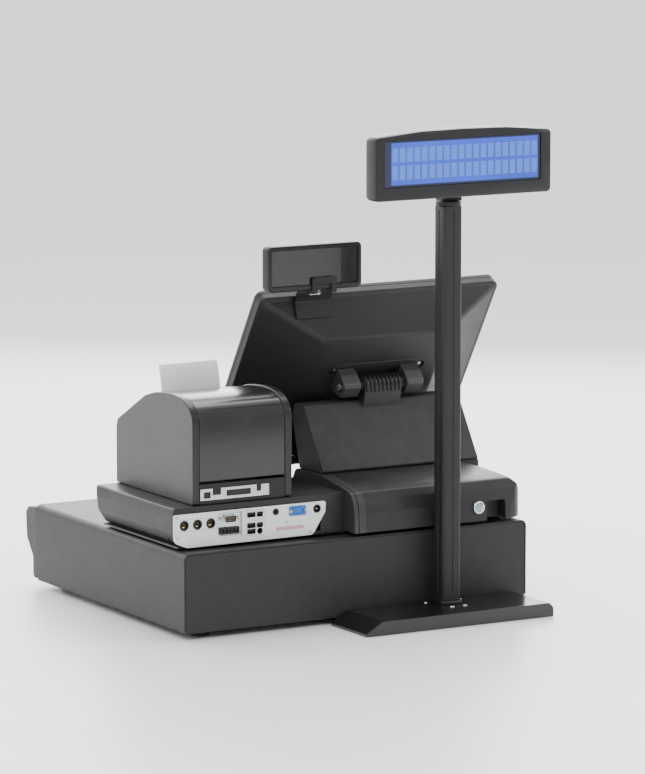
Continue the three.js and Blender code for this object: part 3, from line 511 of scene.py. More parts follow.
inner = [(-19.6, 100), (-19.6, 124, 4), (-4.8, 129, 8), (39, 132.8, 8), (61, 168.8, 10), (120.6, 168.8, 34), (175, 160.9, 12), (192, 156.9, 7), (200, 148.2, 7), (204.2, 133, 12), (205.2, 100)]
g2 = prism("g2", inner, "x", 1.0, 3.0, 10)
boolean(g1, [g2]); boolean(o, [g1])
finish(o, M["case2"], "housing", bevel=0.9, seg=3, rep="hump_end_cheek", angle=35)
# power button cap
o = lathe("power_button_cap", [(0, 6.6), (7, 6.6), (7, 0.8), (6.2, 0.1), (4.4, 0.45), (0, 0.6)], "y", 212, -22.6, 134, 48)
finish(o, M["button"], "power_button", bevel=0, rep="power_button")

# connector panel
IO = [(53, 109.5, 7), (226, 108.5, 12), (243.5, 116, 9), (243.5, 149.5, 2.5), (35, 149.5, 3), (36, 136, 7)]
o = prism("panel_plate", IO, "y", 180, 182, 10)
cuts = [prism("h1", rect(184.8, 235.2, 128.7, 142.9, 2), "y", 176, 186, 4), prism("h2", rect(152.6, 183.9, 119.1, 147.2, 1), "y", 176, 186, 4),
        prism("h3", rect(119.6, 151.8, 116.6, 147.2, 1), "y", 176, 186, 4), prism("h4", rect(62.6, 86.4, 135.1, 146.9, 1), "y", 176, 186, 4),
        lathe("h5", [(0, -4), (4.3, -4), (4.3, 6), (0, 6)], "y", 104.5, 180, 142), lathe("h6", [(0, -4), (5.3, -4), (5.3, 6), (0, 6)], "y", 47.5, 180, 141)]
boolean(o, cuts)
finish(o, M["white"], "housing", bevel=0.35, seg=2, rep="io_panel")
F = 182.6
# round sockets: white-rimmed carrier, black bodies, pins
b0 = prism("din_b", rect(185.2, 235, 129, 142.6, 1.6), "y", 165, F - 0.9, 4)
holes = [lathe("hh", [(0, -30), (5.2, -30), (5.2, 6), (0, 6)], "y", x, F, 135.8) for x in (229.5, 211.5, 193.5)]
boolean(b0, holes); finish(b0, M["white"], "housing", bevel=0.3, seg=2, rep="port_din_group")
for i, x in enumerate((229.5, 211.5, 193.5)):
    o = lathe(f"din_socket_{i}", [(0, -8.4), (3.9, -8.4), (4.0, -1.2), (4.5, 0), (5.8, 0), (6.2, -0.5), (6.2, -0.88), (5.0, -0.88), (5.0, -9.4), (0, -9.4)], "y", x, F, 135.8)
    finish(o, M["hole"], "housing", bevel=0)
    pins = []
    for k in range(6):
        a = math.radians(40 + k * 56)
        pins.append(disc("p", 0.42, -8.4, -3.0, "y", x + 2.4 * math.cos(a), F, 135.8 + 2.4 * math.sin(a), 0.1, 10))
    pins.append(box("key", x - 0.9, x + 0.9, F - 8.4, F - 2.6, 132.9, 134.4))
    o = merge(f"din_pins_{i}", pins); finish(o, M["gold"], "housing", bevel=0)
# serial connector over a black block connector
def dsub(tag, cx, cz, w, h, mat_shell, mat_face, pins, pin_mat, depth=3.2, flare=1.6):
    y0 = F - 0.6
    fl = prism(tag + "_flange", rect(cx - w / 2 - 4.6, cx + w / 2 + 4.6, cz - h / 2 - 1.9, cz + h / 2 + 1.9, 1), "y", F - 1.2, y0, 4)
    sh = prism(tag + "_shell", [(cx - w / 2, cz + h / 2, 1.6), (cx - w / 2 + flare, cz - h / 2, 1.6), (cx + w / 2 - flare, cz - h / 2, 1.6), (cx + w / 2, cz + h / 2, 1.6)], "y", y0 - 0.2, F + depth, 5)
    ci = prism(tag + "_cut", [(cx - w / 2 + 0.7, cz + h / 2 - 0.7, 1.2), (cx - w / 2 + flare + 0.5, cz - h / 2 + 0.7, 1.2), (cx + w / 2 - flare - 0.5, cz - h / 2 + 0.7, 1.2), (cx + w / 2 - 0.7, cz + h / 2 - 0.7, 1.2)], "y", F - 0.2, F + depth + 3, 5)
    boolean(sh, [ci])
    out = [fl, sh]
    finish(merge(tag + "_metal", out), mat_shell, "housing", bevel=0.2, seg=2)
    fc = prism(tag + "_insert", [(cx - w / 2 + 0.9, cz + h / 2 - 0.9, 1), (cx - w / 2 + flare + 0.6, cz - h / 2 + 0.9, 1), (cx + w / 2 - flare - 0.6, cz - h / 2 + 0.9, 1), (cx + w / 2 - 0.9, cz + h / 2 - 0.9, 1)], "y", F - 0.4, F + depth - 1.4, 4)
    if pin_mat == "holes":
        boolean(fc, [lathe("ph", [(0, 0), (0.45, 0), (0.45, 6), (0, 6)], "y", cx + a, F, cz + b, 10) for a, b in pins])
        finish(fc, mat_face, "housing", bevel=0.15, seg=2)
    else:
        finish(fc, mat_face, "housing", bevel=0.15, seg=2)
        finish(merge(tag + "_pins", [disc("p", 0.4, depth - 1.5, depth - 0.2, "y", cx + a, F, cz + b, 0.1, 8) for a, b in pins]), M["gold"], "housing", bevel=0)
    for s in (-1, 1):      # jack posts
        x = cx + s * (w / 2 + 2.5)
        o = lathe(f"{tag}_post_{s + 1}", [(0, -0.6), (2.3, -0.6), (2.3, 2.6), (1.9, 3.0), (1.2, 3.0), (1.2, 1.4), (0, 1.4)], "y", x, F, cz, 6)
        finish(o, M["nickel"], "housing", bevel=0.12, seg=2)
bb = prism("serial_body", rect(153, 183.5, 119.5, 147, 0.6), "y", 162, F - 1.3, 3)
finish(bb, M["nickel"], "housing", bevel=0.3, seg=2, rep="port_serial_block")
dsub("serial", 168.3, 139.4, 17.6, 8.6, M["nickel"], M["hole"], [(-5.2 + 2.6 * k, 1.3) for k in range(5)] + [(-3.9 + 2.6 * k, -1.5) for k in range(4)], "pins")
o = prism("block_connector", rect(155, 182, 120.6, 129.4, 1), "y", F - 1.4, F + 1.0, 4)
boolean(o, [prism("bc", rect(157 + k * 4.8, 160.4 + k * 4.8, 122.6, 127.4, 0.6), "y", F - 0.8, F + 3, 3) for k in range(5)])
finish(o, M["dark"], "housing", bevel=0.3, seg=2)
# data sockets, two columns in one metal cage
cg = prism("socket_cage", rect(120, 151.4, 117, 147, 0.5), "y", 162, F, 3)
SOCK = [(132.6, 144.2, 138.4), (132.6, 144.2, 125.3), (132.6, 144.2, 118.1), (122.6, 130.9, 138.4), (122.6, 130.9, 125.3)]
sc = [prism("s", rect(x0, x1, z, z + 6.0, 0.5), "y", F - 9, F + 3, 3) for x0, x1, z in SOCK]
sc.append(lathe("s", [(0, -9), (3.5, -9), (3.5, 3), (0, 3)], "y", 126.8, F, 121.0, 40))
boolean(cg, sc); finish(cg, M["nickel"], "housing", bevel=0.2, seg=2, rep="port_socket_stack")
tg = [box("t", x0 + 1.6, x1 - 1.6, F - 8.8, F - 1.4, z + 3.2, z + 4.7) for x0, x1, z in SOCK]
bk = [box("t", x0 + 0.1, x1 - 0.1, F - 9, F - 8.2, z + 0.1, z + 5.9) for x0, x1, z in SOCK]
finish(merge("socket_tongues", tg), M["dark"], "housing", bevel=0)
finish(merge("socket_backs", bk), M["hole"], "housing", bevel=0)
o = lathe("round_socket", [(0, -8.6), (2.8, -8.6), (2.8, -0.4), (3.1, 0.3), (3.7, 0.3), (3.9, -0.02), (3.45, -0.02), (3.45, -8.9), (0, -8.9)], "y", 126.8, F, 121.0, 40)
finish(o, M["hole"], "housing", bevel=0)
# audio jack, power inlet
o = lathe("audio_jack_ring", [(1.8, -9), (1.8, 0.2), (2.4, 0.5), (3.4, 0.5), (4.0, 0), (4.0, -16), (1.8, -16)], "y", 104.5, F, 142, 40)
finish(o, M["dark"], "housing", bevel=0, rep="port_audio_jack")
o = lathe("power_inlet_ring", [(3.4, -9), (3.4, 0.1), (3.9, 0.6), (4.6, 0.6), (5.0, 0.1), (5.0, -16), (0, -16), (0, -9)], "y", 47.5, F, 141, 40)
finish(o, M["dark"], "housing", bevel=0, rep="port_power_inlet")
o = disc("power_inlet_pin", 0.9, -9, -1.2, "y", 47.5, F, 141, 0.25, 20); finish(o, M["chrome"], "housing", bevel=0)
# video connector
bb = prism("video_body", rect(63, 86, 135.5, 146.5, 0.6), "y", 164, F - 1.3, 3); finish(bb, M["nickel"], "housing", bevel=0.3, seg=2, rep="port_video")
dsub("video", 74.5, 141, 15.2, 7.4, M["blue"], M["blue"], [(-4.6 + 2.3 * k, b) for k in range(5) for b in (1.8, 0, -1.8)], "holes", depth=3.4, flare=1.3)
o = prism("panel_strip_pink", rect(66, 104, 118.5, 123, 0.8), "y", 182.0, 182.25, 4); finish(o, M["pink"], "housing", bevel=0)
# small flat-head screws on the panel
def screw(tag, axis, x, y, z, r=2.6, body="housing", mat="nickel", h=1.0, tf=None, sgn=1):
    prof = [(0, -0.6 * sgn), (r, -0.6 * sgn), (r, 0.15 * sgn), (r * 0.82, h * 0.75 * sgn), (r * 0.45, h * sgn), (0, h * sgn)]
    o = lathe(tag, prof, axis, x, y, z, 28, tf)
    if axis == "y":
        a = box("a", x - 0.4, x + 0.4, y + (h - 0.55) * sgn - (3 if sgn < 0 else 0), y + (h - 0.55) * sgn + (3 if sgn > 0 else 0), z - r * 0.62, z + r * 0.62, tf)
        b = box("b", x - r * 0.62, x + r * 0.62, y + (h - 0.55) * sgn - (3 if sgn < 0 else 0), y + (h - 0.55) * sgn + (3 if sgn > 0 else 0), z - 0.4, z + 0.4, tf)
    elif axis == "x":
        a = box("a", x + (h - 0.55) * sgn - (3 if sgn < 0 else 0), x + (h - 0.55) * sgn + (3 if sgn > 0 else 0), y - 0.4, y + 0.4, z - r * 0.62, z + r * 0.62, tf)
        b = box("b", x + (h - 0.55) * sgn - (3 if sgn < 0 else 0), x + (h - 0.55) * sgn + (3 if sgn > 0 else 0), y - r * 0.62, y + r * 0.62, z - 0.4, z + 0.4, tf)
    else:
        a = box("a", x - 0.4, x + 0.4, y - r * 0.62, y + r * 0.62, z + (h - 0.55) * sgn - (3 if sgn < 0 else 0), z + (h - 0.55) * sgn + (3 if sgn > 0 else 0), tf)
        b = box("b", x - r * 0.62, x + r * 0.62, y - 0.4, y + 0.4, z + (h - 0.55) * sgn - (3 if sgn < 0 else 0), z + (h - 0.55) * sgn + (3 if sgn > 0 else 0), tf)
    boolean(o, [a, b])
    return finish(o, M[mat], body, bevel=0)
for i, (x, z) in enumerate(((239, 121.5), (57, 113.5), (240, 146), (90, 128.5))): screw(f"panel_screw_{i}", "y", x, 182.1, z, 1.7, h=0.7)
dress("mainboard", M["pcb"], 0.1)
# indicator: chrome ring with a dark lens
o = lathe("indicator_ring", [(5.6, -0.6), (5.6, 0.9), (6.4, 1.6), (7.4, 1.6), (8.0, 1.0), (8.0, -0.6)], "y", -168, 205.6, 127, 56)
finish(o, M["chrome"], "housing", bevel=0, rep="indicator_lens")
o = lathe("indicator_face", [(0, -0.4), (5.5, -0.4), (5.5, 0.6), (4.4, 0.95), (0, 1.2)], "y", -168, 205.6, 127, 48)
ind = gloss("indicator_glass", (0.30, 0.38, 0.46), 0.10, 1.0); finish(o, ind, "housing", bevel=0)
# dark sheet at the back of the cable slot: painted shade in the recess
o = box("cable_slot_painted_shade", -206.6, -180.4, 188.3, 189.3, 110.2, 133.6); finish(o, M["hole"], "housing", bevel=0)

# ================================================================== stand
HY, HZ = 72, 268
o = prism("column_skin", [(62, 170.3), (124, 170.3, 3), (117, 180, 6), (72, 250, 7), (50, 250, 6), (44, 232, 8), (58, 186, 12)], "x", -218, 4, 8)
tab = prism("tab", [(56, 242), (77, 240), (HY + 9, 252), (HY + 11.5, HZ - 2, 5), (HY + 10, HZ + 7, 6), (HY + 1, HZ + 11.5, 6), (HY - 9, HZ + 8, 6), (HY - 11.5, HZ - 4, 5), (56, 252)], "x", -130, -78, 8)
boolean(o, [tab], "UNION")
skirt = prism("skirt", [(-218, 171), (-180, 171)] + [(-184 - 56 * math.sin(math.radians(d)), 117.5 + 53 * math.cos(math.radians(d))) for d in (0, 6, 12, 18, 24, 30, 34, 37.4)], "y", 62.2, 123)
boolean(o, [skirt], "UNION")
boolean(o, [lathe("bore", [(0, -80), (5.4, -80), (5.4, 80), (0, 80)], "x", -104, HY, HZ, 32)])
finish(o, M["column"], "housing", bevel=1.8, seg=4, rep="stand_column", angle=35)
prof = [(0, -59), (4.6, -59), (5, -58.6), (5, 58.6), (4.6, 59), (0, 59)]
o = lathe("hinge_shaft_turned", prof, "x", -104, HY, HZ, 40); finish(o, M["zinc"], "housing", bevel=0, rep="monitor_hinge_shaft")
# ribs round the barrel of the tab
for k in range(9):
    x = -127 + k * 5.75
    o = lathe(f"barrel_rib_{k}", [(10.2, 0), (12.7, 0.3), (13.2, 1.0), (13.2, 2.4), (12.7, 3.1), (10.2, 3.4)], "x", x - 1.7, HY, HZ, 40); finish(o, M["dark"], "housing", bevel=0)
# ribbed friction washers between the tab and the knuckles
for tag, x0, x1 in (("left", -136.6, -130.3), ("right", -77.7, -71.4)):
    pr = [(5.1, 0)]
    nr = 4; w = (x1 - x0) / nr
    for k in range(nr):
        pr += [(8.2, k * w), (9.4, k * w + 0.35), (9.4, (k + 1) * w - 0.55), (8.2, (k + 1) * w - 0.3)]
    pr += [(8.2, x1 - x0), (5.1, x1 - x0)]
    o = lathe(f"hinge_washers_{tag}", pr, "x", x0, HY, HZ, 40); finish(o, M["dark"], "housing", bevel=0)

# ================================================================== monitor (own frame: x across, u up the screen, f out of the screen)
LEAN = math.radians(58); MC = (-104, 4.6, 267.4)
def mt(x, u, f):
    c, s = math.cos(LEAN), math.sin(LEAN)
    return P(MC[0] + x, MC[1] + u * c - f * s, MC[2] + u * s + f * c)
def mw(u, f):
    c, s = math.cos(LEAN), math.sin(LEAN)
    return (MC[1] + u * c - f * s, MC[2] + u * s + f * c)
def rring(x0, x1, u0, u1, r, f, seg=8):
    return [(a, b, f) for a, b in outline(rect(x0, x1, u0, u1, r), seg)]
rings = [rring(-171, 171, -140, 140, 10, 9.9), rring(-171, 171, -140, 140, 10, 1.2), rring(-170, 170, -139, 139, 9.4, 0.2), rring(-166.5, 166.5, -135.5, 135.5, 8, -0.3),
         rring(-164.5, 164.5, -133.5, 133.5, 8, -1.0), rring(-92, 92, -102, 103, 9, -38.0), rring(-89.6, 89.6, -99.6, 100.6, 8.4, -39.5), rring(-87, 87, -97, 98, 8, -40.0)]
o = loft("monitor_back_skin", rings, tf=mt)
# vents across the top slope's foot and along the flat, and the seam round the rim
vents = []
for k in range(11):
    x = -60 + k * 12
for k in range(11):
    x = -60 + k * 12
    vents.append(prism("v", rect(x - 4.2, x + 4.2, -88, -86, 0.95), "z", -44, -37, 4, tf=mt))
vents += [prism("v", [(x - 9, 42, 5.9), (x + 9, 42, 5.9), (x + 9, 54, 5.9), (x - 9, 54, 5.9)], "z", -44, -37.4, 8, tf=mt) for x in (-60, 60)]
vj = merge("vj", vents)
boolean(o, [vj])
finish(o, M["case"], "monitor", bevel=0.5, seg=2, rep="monitor_back_cover", angle=28, smooth=30)
bz = loft("bezel_outer", [rring(-171, 171, -140, 140, 10, 10.3), rring(-171, 171, -140, 140, 10, 15.2), rring(-170.2, 170.2, -139.2, 139.2, 9.4, 16.5), rring(-168.6, 168.6, -137.6, 137.6, 8, 17.0)], tf=mt)
cutter = loft("bc", [rring(-154, 154, -116, 118, 1.2, 5, 4), rring(-154, 154, -116, 118, 1.2, 14.8, 4), rring(-157.4, 157.4, -119.4, 121.4, 3, 18.5, 4)], tf=mt)
boolean(bz, [cutter]); finish(bz, M["case"], "monitor", bevel=0.35, seg=2, rep="monitor_bezel", smooth=30)
dress("lcd_panel", M["hole"], 0.2)
dress("touch_glass", M["screen"], 0.3)
# power lamp and two keys under the screen
for i, x in enumerate((118, 130)):
    o = disc(f"monitor_key_{i}", 3.6, 16.4, 17.9, "z", x, -129, 0, 0.5, 32, tf=mt); finish(o, M["button"], "monitor", bevel=0)
led = N("lamp_green"); led.link(led.mix(led.noise(400, 2), (0.1, 0.7, 0.2, 1), (0.2, 0.9, 0.3, 1)), led.b.inputs["Base Color"]); led.b.inputs["Roughness"].default_value = 0.25
led.link(led.mix(led.noise(400, 2), (0.1, 0.8, 0.2, 1), (0.2, 1, 0.3, 1)), led.b.inputs["Emission Color"]); led.b.inputs["Emission Strength"].default_value = 1.6
o = disc("monitor_lamp", 1.3, 16.4, 17.4, "z", 142, -129, 0, 0.3, 24, tf=mt); finish(o, led.m, "monitor", bevel=0)
# hinge knuckles
ay, az = 72 - MC[1], 268 - MC[2]
AU = ay * math.cos(LEAN) + az * math.sin(LEAN); AF = -ay * math.sin(LEAN) + az * math.cos(LEAN)
for n_, x0, x1 in (("left", -161, -137), ("right", -71, -47)):
    a, b = x0 - MC[0], x1 - MC[0]
    kp = [(AU - 15, -40.3), (AU - 14, AF + 4, 6), (AU - 10, AF - 11.5, 7), (AU + 10, AF - 11.5, 7), (AU + 15, AF + 4, 6), (AU + 16, -40.3)]
    o = prism(f"knuckle_{n_}_skin", kp, "x", a, b, 8, tf=mt)
    boolean(o, [lathe("bore", [(0, -30), (5.4, -30), (5.4, 30), (0, 30)], "x", (a + b) / 2, AU, AF, 32, tf=mt)])
    finish(o, M["knuckle"], "monitor", bevel=1.6, seg=3, rep=f"hinge_knuckle_{n_}", angle=35)
# screws on the flat of the back cover
def mscrew(tag, x, u, f=-40.0, r=3.0):
    o = lathe(tag, [(0, 0.6), (r, 0.6), (r, -0.2), (r * 0.82, -0.9), (r * 0.4, -1.15), (0, -1.2)], "z", x, u, f, 28, tf=mt)
    a = box("a", x - 0.4, x + 0.4, u - r * 0.62, u + r * 0.62, f - 4, f - 0.6, tf=mt); b = box("b", x - r * 0.62, x + r * 0.62, u - 0.4, u + 0.4, f - 4, f - 0.6, tf=mt)
    boolean(o, [a, b]); finish(o, M["nickel"], "monitor", bevel=0)
for i, (x, u) in enumerate(((-63, 48), (57, 48), (-60, -70), (60, -70), (-78, -88), (78, -88))): mscrew(f"back_screw_{i}", x, u, -37.6 if u > 0 else -40.0)
# mounting recesses: a raised square boss round the four inner screws
boss = loft("mount_boss", [rring(-58, 58, -58, 58, 6, -39.8, 5), rring(-57.4, 57.4, -57.4, 57.4, 5.4, -40.6, 5)], tf=mt)
bi = loft("bi", [rring(-43, 43, -43, 43, 4, -38, 5), rring(-43, 43, -43, 43, 4, -42, 5)], tf=mt)
boolean(boss, [bi]); finish(boss, M["case"], "monitor", bevel=0.25, seg=2)

# ================================================================== small rear display
off = lambda p, a, b: (p[0] + a, p[1] + b)
t_, m_ = mw(132, -1), mw(118, -18)
o = prism("bracket_skin", [off(m_, 0.9, 0), off(m_, 5, 1) + (2,), off(t_, 6.5, 0) + (4,), (91.4, 392, 3), (91.4, 404, 2), (86, 404, 2), (86, 393, 3), off(t_, 1.2, 2) + (2,)], "x", -28, 21, 6)
nb = prism("nb", [(-12, 388, 3), (5, 388, 3), (5, 412), (-12, 412)], "y", 60, 120, 5)
boolean(o, [nb])
finish(o, M["dark"], "monitor", bevel=0.7, seg=3, rep="rear_display_bracket")
X0, X1, Y0, Y1, Z0, Z1 = -57, 74, 92, 110, 397.5, 453
o = loft("rear_display_skin", [[(a, y, b) for a, b in outline(rect(X0 + i, X1 - i, Z0 + i, Z1 - i, r), 8)] for y, i, r in ((Y0, 3.4, 4), (Y0 + 0.8, 1.4, 5), (Y0 + 3, 0, 6), (Y1 - 1.6, 0, 6), (Y1 - 0.4, 0.5, 5.6), (Y1, 1.4, 5))])
boolean(o, [prism("rc", rect(X0 + 5, X1 - 5, Z0 + 6, Z1 - 5, 2), "y", Y1 - 4, Y1 + 4, 5)])
finish(o, M["dark"], "rear_display", bevel=0.3, seg=2, rep="rear_display_housing")
o = prism("rear_window", rect(X0 + 5.4, X1 - 5.4, Z0 + 6.4, Z1 - 5.4, 1.8), "y", Y1 - 3.7, Y1 - 1.2, 5)
finish(o, M["glass"], "rear_display", bevel=0.3, seg=2, rep="rear_display_window")
# spring clip that grips the small display's lower edge: two hooks and a bridge
hooks = [prism("hk", [(97, 392.5, 2), (112.8, 392.5, 3), (112.8, 412, 1), (110.2, 412), (110.2, 397.3), (97, 397.3)], "x", x0, x0 + 7, 6) for x0 in (-20, 7)]
hooks.append(prism("hb", rect(-20, 14, 404, 412.5, 2.5), "y", 110.2, 112.6, 5))
cl = hooks[0]; boolean(cl, hooks[1:], "UNION"); cl.name = "display_clip"
finish(cl, M["hole"], "rear_display", bevel=0.4, seg=2)
# pivot barrel under the small display
o = disc("display_pivot", 3.3, -24, 24, "x", -3.5, 88.5, 401, 0.6, 36); finish(o, M["nickel"], "monitor", bevel=0)

# ================================================================== receipt printer
CH = [(-24, 157.4, 2), (175, 157.4, 2), (175, 257), (172, 266), (164, 275), (152, 281.5), (137, 285), (115, 286), (84, 283.5), (52, 275.5, 8), (-22, 236), (-24, 232)]
def spline(pts, n):
    """Catmull-Rom through the points, open"""
    out = []
    for i in range(len(pts) - 1):
        p0 = pts[max(i - 1, 0)]; p1 = pts[i]; p2 = pts[i + 1]; p3 = pts[min(i + 2, len(pts) - 1)]
        for k in range(n):
            t = k / n
            out.append(tuple(0.5 * (2 * p1[j] + (-p0[j] + p2[j]) * t + (2 * p0[j] - 5 * p1[j] + 4 * p2[j] - p3[j]) * t * t + (-p0[j] + 3 * p1[j] - 3 * p2[j] + p3[j]) * t ** 3) for j in (0, 1)))
    out.append(tuple(pts[-1][:2])); return out
top = spline([(175, 252), (174.3, 259.5), (171.6, 266.6), (164.2, 275), (152, 281.5), (137, 285), (115, 286), (84, 283.5), (64, 279)], 4)
cheek = [(-24, 160), (-23.4, 158), (-21.5, 157.4), (172.5, 157.4), (174.4, 158), (175, 160)] + top + outline([(64, 279), (52, 275.5, 10), (-21, 236.6, 5), (-24, 228), (20, 200)], 6)[1:-2] + [(-24, 226)]
for tag, x0, x1, rep in (("left", 78, 87, "printer_cheek_left"), ("right", 205, 214, "printer_cheek_right")):
    o = prism(f"cheek_{tag}_skin", cheek, "x", x0, x1)
    finish(o, M["cheek"], "housing", bevel=1.3, seg=3, rep=rep, angle=40, smooth=28)
o = prism("printer_tray", [(-22, 157.4), (174, 157.4), (174, 182, 1), (169, 182, 1), (156, 172, 10), (130, 165.5, 12), (94, 165.5, 12), (72, 172, 8), (60, 182, 1), (56, 182, 1), (56, 165.5), (-22, 165.5)], "x", 87.3, 204.7, 5)
finish(o, M["dark"], "housing", bevel=0.5, seg=2, rep="printer_base")
SL = math.atan2(269 - 231.5, 66)
def st(cx, cy):
    def f(x, y, z):
        return P(cx + x, cy + y * math.cos(SL) - z * math.sin(SL), 231.5 + (cy + 22) * math.tan(SL) + y * math.sin(SL) + z * math.cos(SL))
    return f
o = prism("front_cover_skin", [(-22, 166, 0), (-22, 231.5, 6), (44, 269, 1), (44, 263, 1), (-16, 228.5, 3), (-16, 166, 0)], "x", 87.3, 204.7, 8)
boolean(o, [prism("b1", rect(-12.4, 12.4, -7.4, 7.4, 2.4), "z", -14, 14, 5, tf=st(182, 22)), lathe("b2", [(0, -14), (5.4, -14), (5.4, 14), (0, 14)], "z", 0, 0, 0, 36, tf=st(104, 8))])
finish(o, M["warm"], "housing", bevel=0.5, seg=2, rep="printer_front_cover")
o = loft("lid_release_cap", [[(a, b, z) for a, b in outline(rect(-12 + i, 12 - i, -7 + i, 7 - i, 2.2), 5)] for z, i in ((-5.5, 0), (2.4, 0), (3.2, 0.4), (3.5, 1.2), (3.1, 2.6))], tf=st(182, 22))
finish(o, M["button"], "lid_release", bevel=0, rep="lid_release_button")
o = lathe("feed_cap", [(0, -5.5), (5, -5.5), (5, 1.6), (4.5, 2.2), (3, 2.4), (0, 2.2)], "z", 0, 0, 0, 40, tf=st(104, 8)); finish(o, M["button"], "feed_button", bevel=0, rep="feed_button")
for i, x in enumerate((118, 126)):
    o = disc(f"printer_lamp_{i}", 1.4, -1.5, 0.5, "z", 0, 0, 0, 0.3, 20, tf=st(x, 8)); finish(o, led.m, "housing", bevel=0)
dress("print_head", M["zinc"], 0.3)
outer = spline([(55, 276), (84, 282.5), (115, 285), (137, 284), (151.5, 280.5), (163, 274.3), (170.8, 265.5), (173.8, 256.5)], 6) + [(173.8, 187.5), (173.2, 185.2), (171.8, 184.5)]
innr = [(169.8, 186)] + spline([(169.8, 255.8), (167.2, 263.2), (160.6, 270.7), (150, 276.6), (136.4, 280), (115, 281), (84.6, 278.6), (57.5, 272.4)], 5) + [(55.6, 272.6), (54.6, 274.2)]
o = prism("lid_shell", outer + innr, "x", 87.7, 204.3)
finish(o, M["lid"], "printer_lid", bevel=0.5, seg=2, rep="printer_lid", angle=42, smooth=30)
o = lathe("platen_skin", [(0, -48), (2.5, -48), (2.5, -42.5), (6.6, -42.5), (7, -42), (7, 42), (6.6, 42.5), (2.5, 42.5), (2.5, 48), (0, 48)], "x", 146, 62.5, 261.5, 36)
finish(o, M["rubber"], "platen_roller", bevel=0, rep="platen_roller")
# gear on the platen's end
def gear(tag, cx, cy, cz, r, w, teeth, mat, body):
    ring = []
    for k in range(teeth * 4):
        a = 2 * math.pi * k / (teeth * 4); rr = r if k % 4 in (0, 1) else r * 0.86
        ring.append((rr * math.cos(a), rr * math.sin(a)))
    o = prism(tag, [(cy + a, cz + b) for a, b in ring], "x", cx, cx + w); return finish(o, mat, body, bevel=0)
gear("platen_gear", 189.2, 62.5, 261.5, 6.6, 3.6, 18, M["white"], "platen_roller")
# paper roll: wound edges on its ends, cardboard core
prof = [(9.4, -39.5), (37.6, -39.5), (38, -39.1), (38, 39.1), (37.6, 39.5), (9.4, 39.5)]
o = lathe("paper_roll_skin", prof, "x", 146, 112, 206, 72)
rollm = N("paper_roll_ends"); sx = rollm.node("ShaderNodeSeparateXYZ"); rollm.link(rollm.co, sx.inputs[0])
dy = rollm.math("SUBTRACT", sx.outputs[1], 0.112 + OY); dz = rollm.math("SUBTRACT", sx.outputs[2], 0.206)
rr = rollm.math("SQRT", rollm.math("ADD", rollm.math("MULTIPLY", dy, dy), rollm.math("MULTIPLY", dz, dz)))
w = rollm.math("SINE", rollm.math("MULTIPLY", rr, 2 * math.pi / 0.00045))
rollm.link(rollm.mix(rollm.math("MULTIPLY_ADD", w, 0.25, 0.5), (0.70, 0.69, 0.66, 1), (0.90, 0.89, 0.87, 1)), rollm.b.inputs["Base Color"])
rollm.b.inputs["Roughness"].default_value = 0.7; rollm.link(rollm.bump(w, 0.15, 0.0001), rollm.b.inputs["Normal"])
finish(o, rollm.m, "paper_roll", bevel=0, rep="paper_roll")
card = plastic("core_board", (0.36, 0.26, 0.16), rough=0.8, grain=500, wear=0, dust=0)
o = lathe("roll_core", [(8, -39.6), (9.3, -39.6), (9.3, 39.6), (8, 39.6)], "x", 146, 112, 206, 48); finish(o, card, "paper_roll", bevel=0)
# receipt: a curled strip with a serrated upper edge
NX, path = 54, spline([(49.85, 236), (49.85, 256), (49.7, 272), (47.3, 290), (44.0, 303.5), (41.6, 309.2)], 6)
bm = bmesh.new(); grid = []
for j, (y, z) in enumerate(path):
    row = []
    for i in range(NX + 1):
        u = i / NX; x = 108 + 81 * u
        t = max(0, (z - 275) / 37)
        curl = 1.1 * t * math.cos((u - 0.5) * math.pi) - 1.6 * t * t * (u - 0.5) ** 2 * 4 + 0.25 * t * math.sin(u * 9 + z * 0.08)
        zz = z + (0.7 if (j == len(path) - 1 and i % 2) else 0)
        row.append(bm.verts.new(P(x, y + curl, zz - 0.8 * t * (u - 0.5))))
    grid.append(row)
for a, b in zip(grid, grid[1:]):
    for i in range(NX): bm.faces.new((a[i], a[i + 1], b[i + 1], b[i]))
o = new_obj("receipt", bm); sd = o.modifiers.new("thick", "SOLIDIFY"); sd.thickness = 0.00012; sd.offset = 0
rc = N("receipt_paper"); s3 = rc.node("ShaderNodeSeparateXYZ"); rc.link(rc.co, s3.inputs[0])
gn = rc.node("ShaderNodeNewGeometry"); s4 = rc.node("ShaderNodeSeparateXYZ"); rc.link(gn.outputs["Normal"], s4.inputs[0])
front = rc.math("LESS_THAN", s4.outputs[1], -0.2)
rows = rc.math("FRACT", rc.math("MULTIPLY", s3.outputs[2], 1 / 0.0042)); ln = box_mask(rc, rows, 0.25, 0.62)
wn = rc.node("ShaderNodeTexNoise"); mp = rc.node("ShaderNodeMapping"); mp.inputs["Scale"].default_value = (60, 0.01, 238); rc.link(rc.co, mp.inputs[0]); rc.link(mp.outputs[0], wn.inputs[0]); wn.inputs["Scale"].default_value = 1.0; wn.inputs["Detail"].default_value = 0
ink = rc.math("MULTIPLY", rc.math("MULTIPLY", ln, rc.math("GREATER_THAN", wn.outputs[0], 0.48)), rc.math("MULTIPLY", front, box_mask(rc, s3.outputs[0], OX + 0.113, OX + 0.184)))
f_ = rc.noise(700, 5, 0.7)
pc = rc.mix(rc.ramp(rc.noise(30, 3), [(0.3, (0, 0, 0, 1)), (0.7, (1, 1, 1, 1))]), (0.86, 0.86, 0.86, 1), (0.92, 0.92, 0.92, 1))
rc.link(rc.mix(rc.math("MULTIPLY", ink, 0.6), pc, (0.22, 0.22, 0.24, 1)), rc.b.inputs["Base Color"])
rc.link(rc.math("ADD", rc.math("MULTIPLY", f_, 0.15), 0.5), rc.b.inputs["Roughness"]); rc.link(rc.bump(f_, 0.15, 0.0001), rc.b.inputs["Normal"])
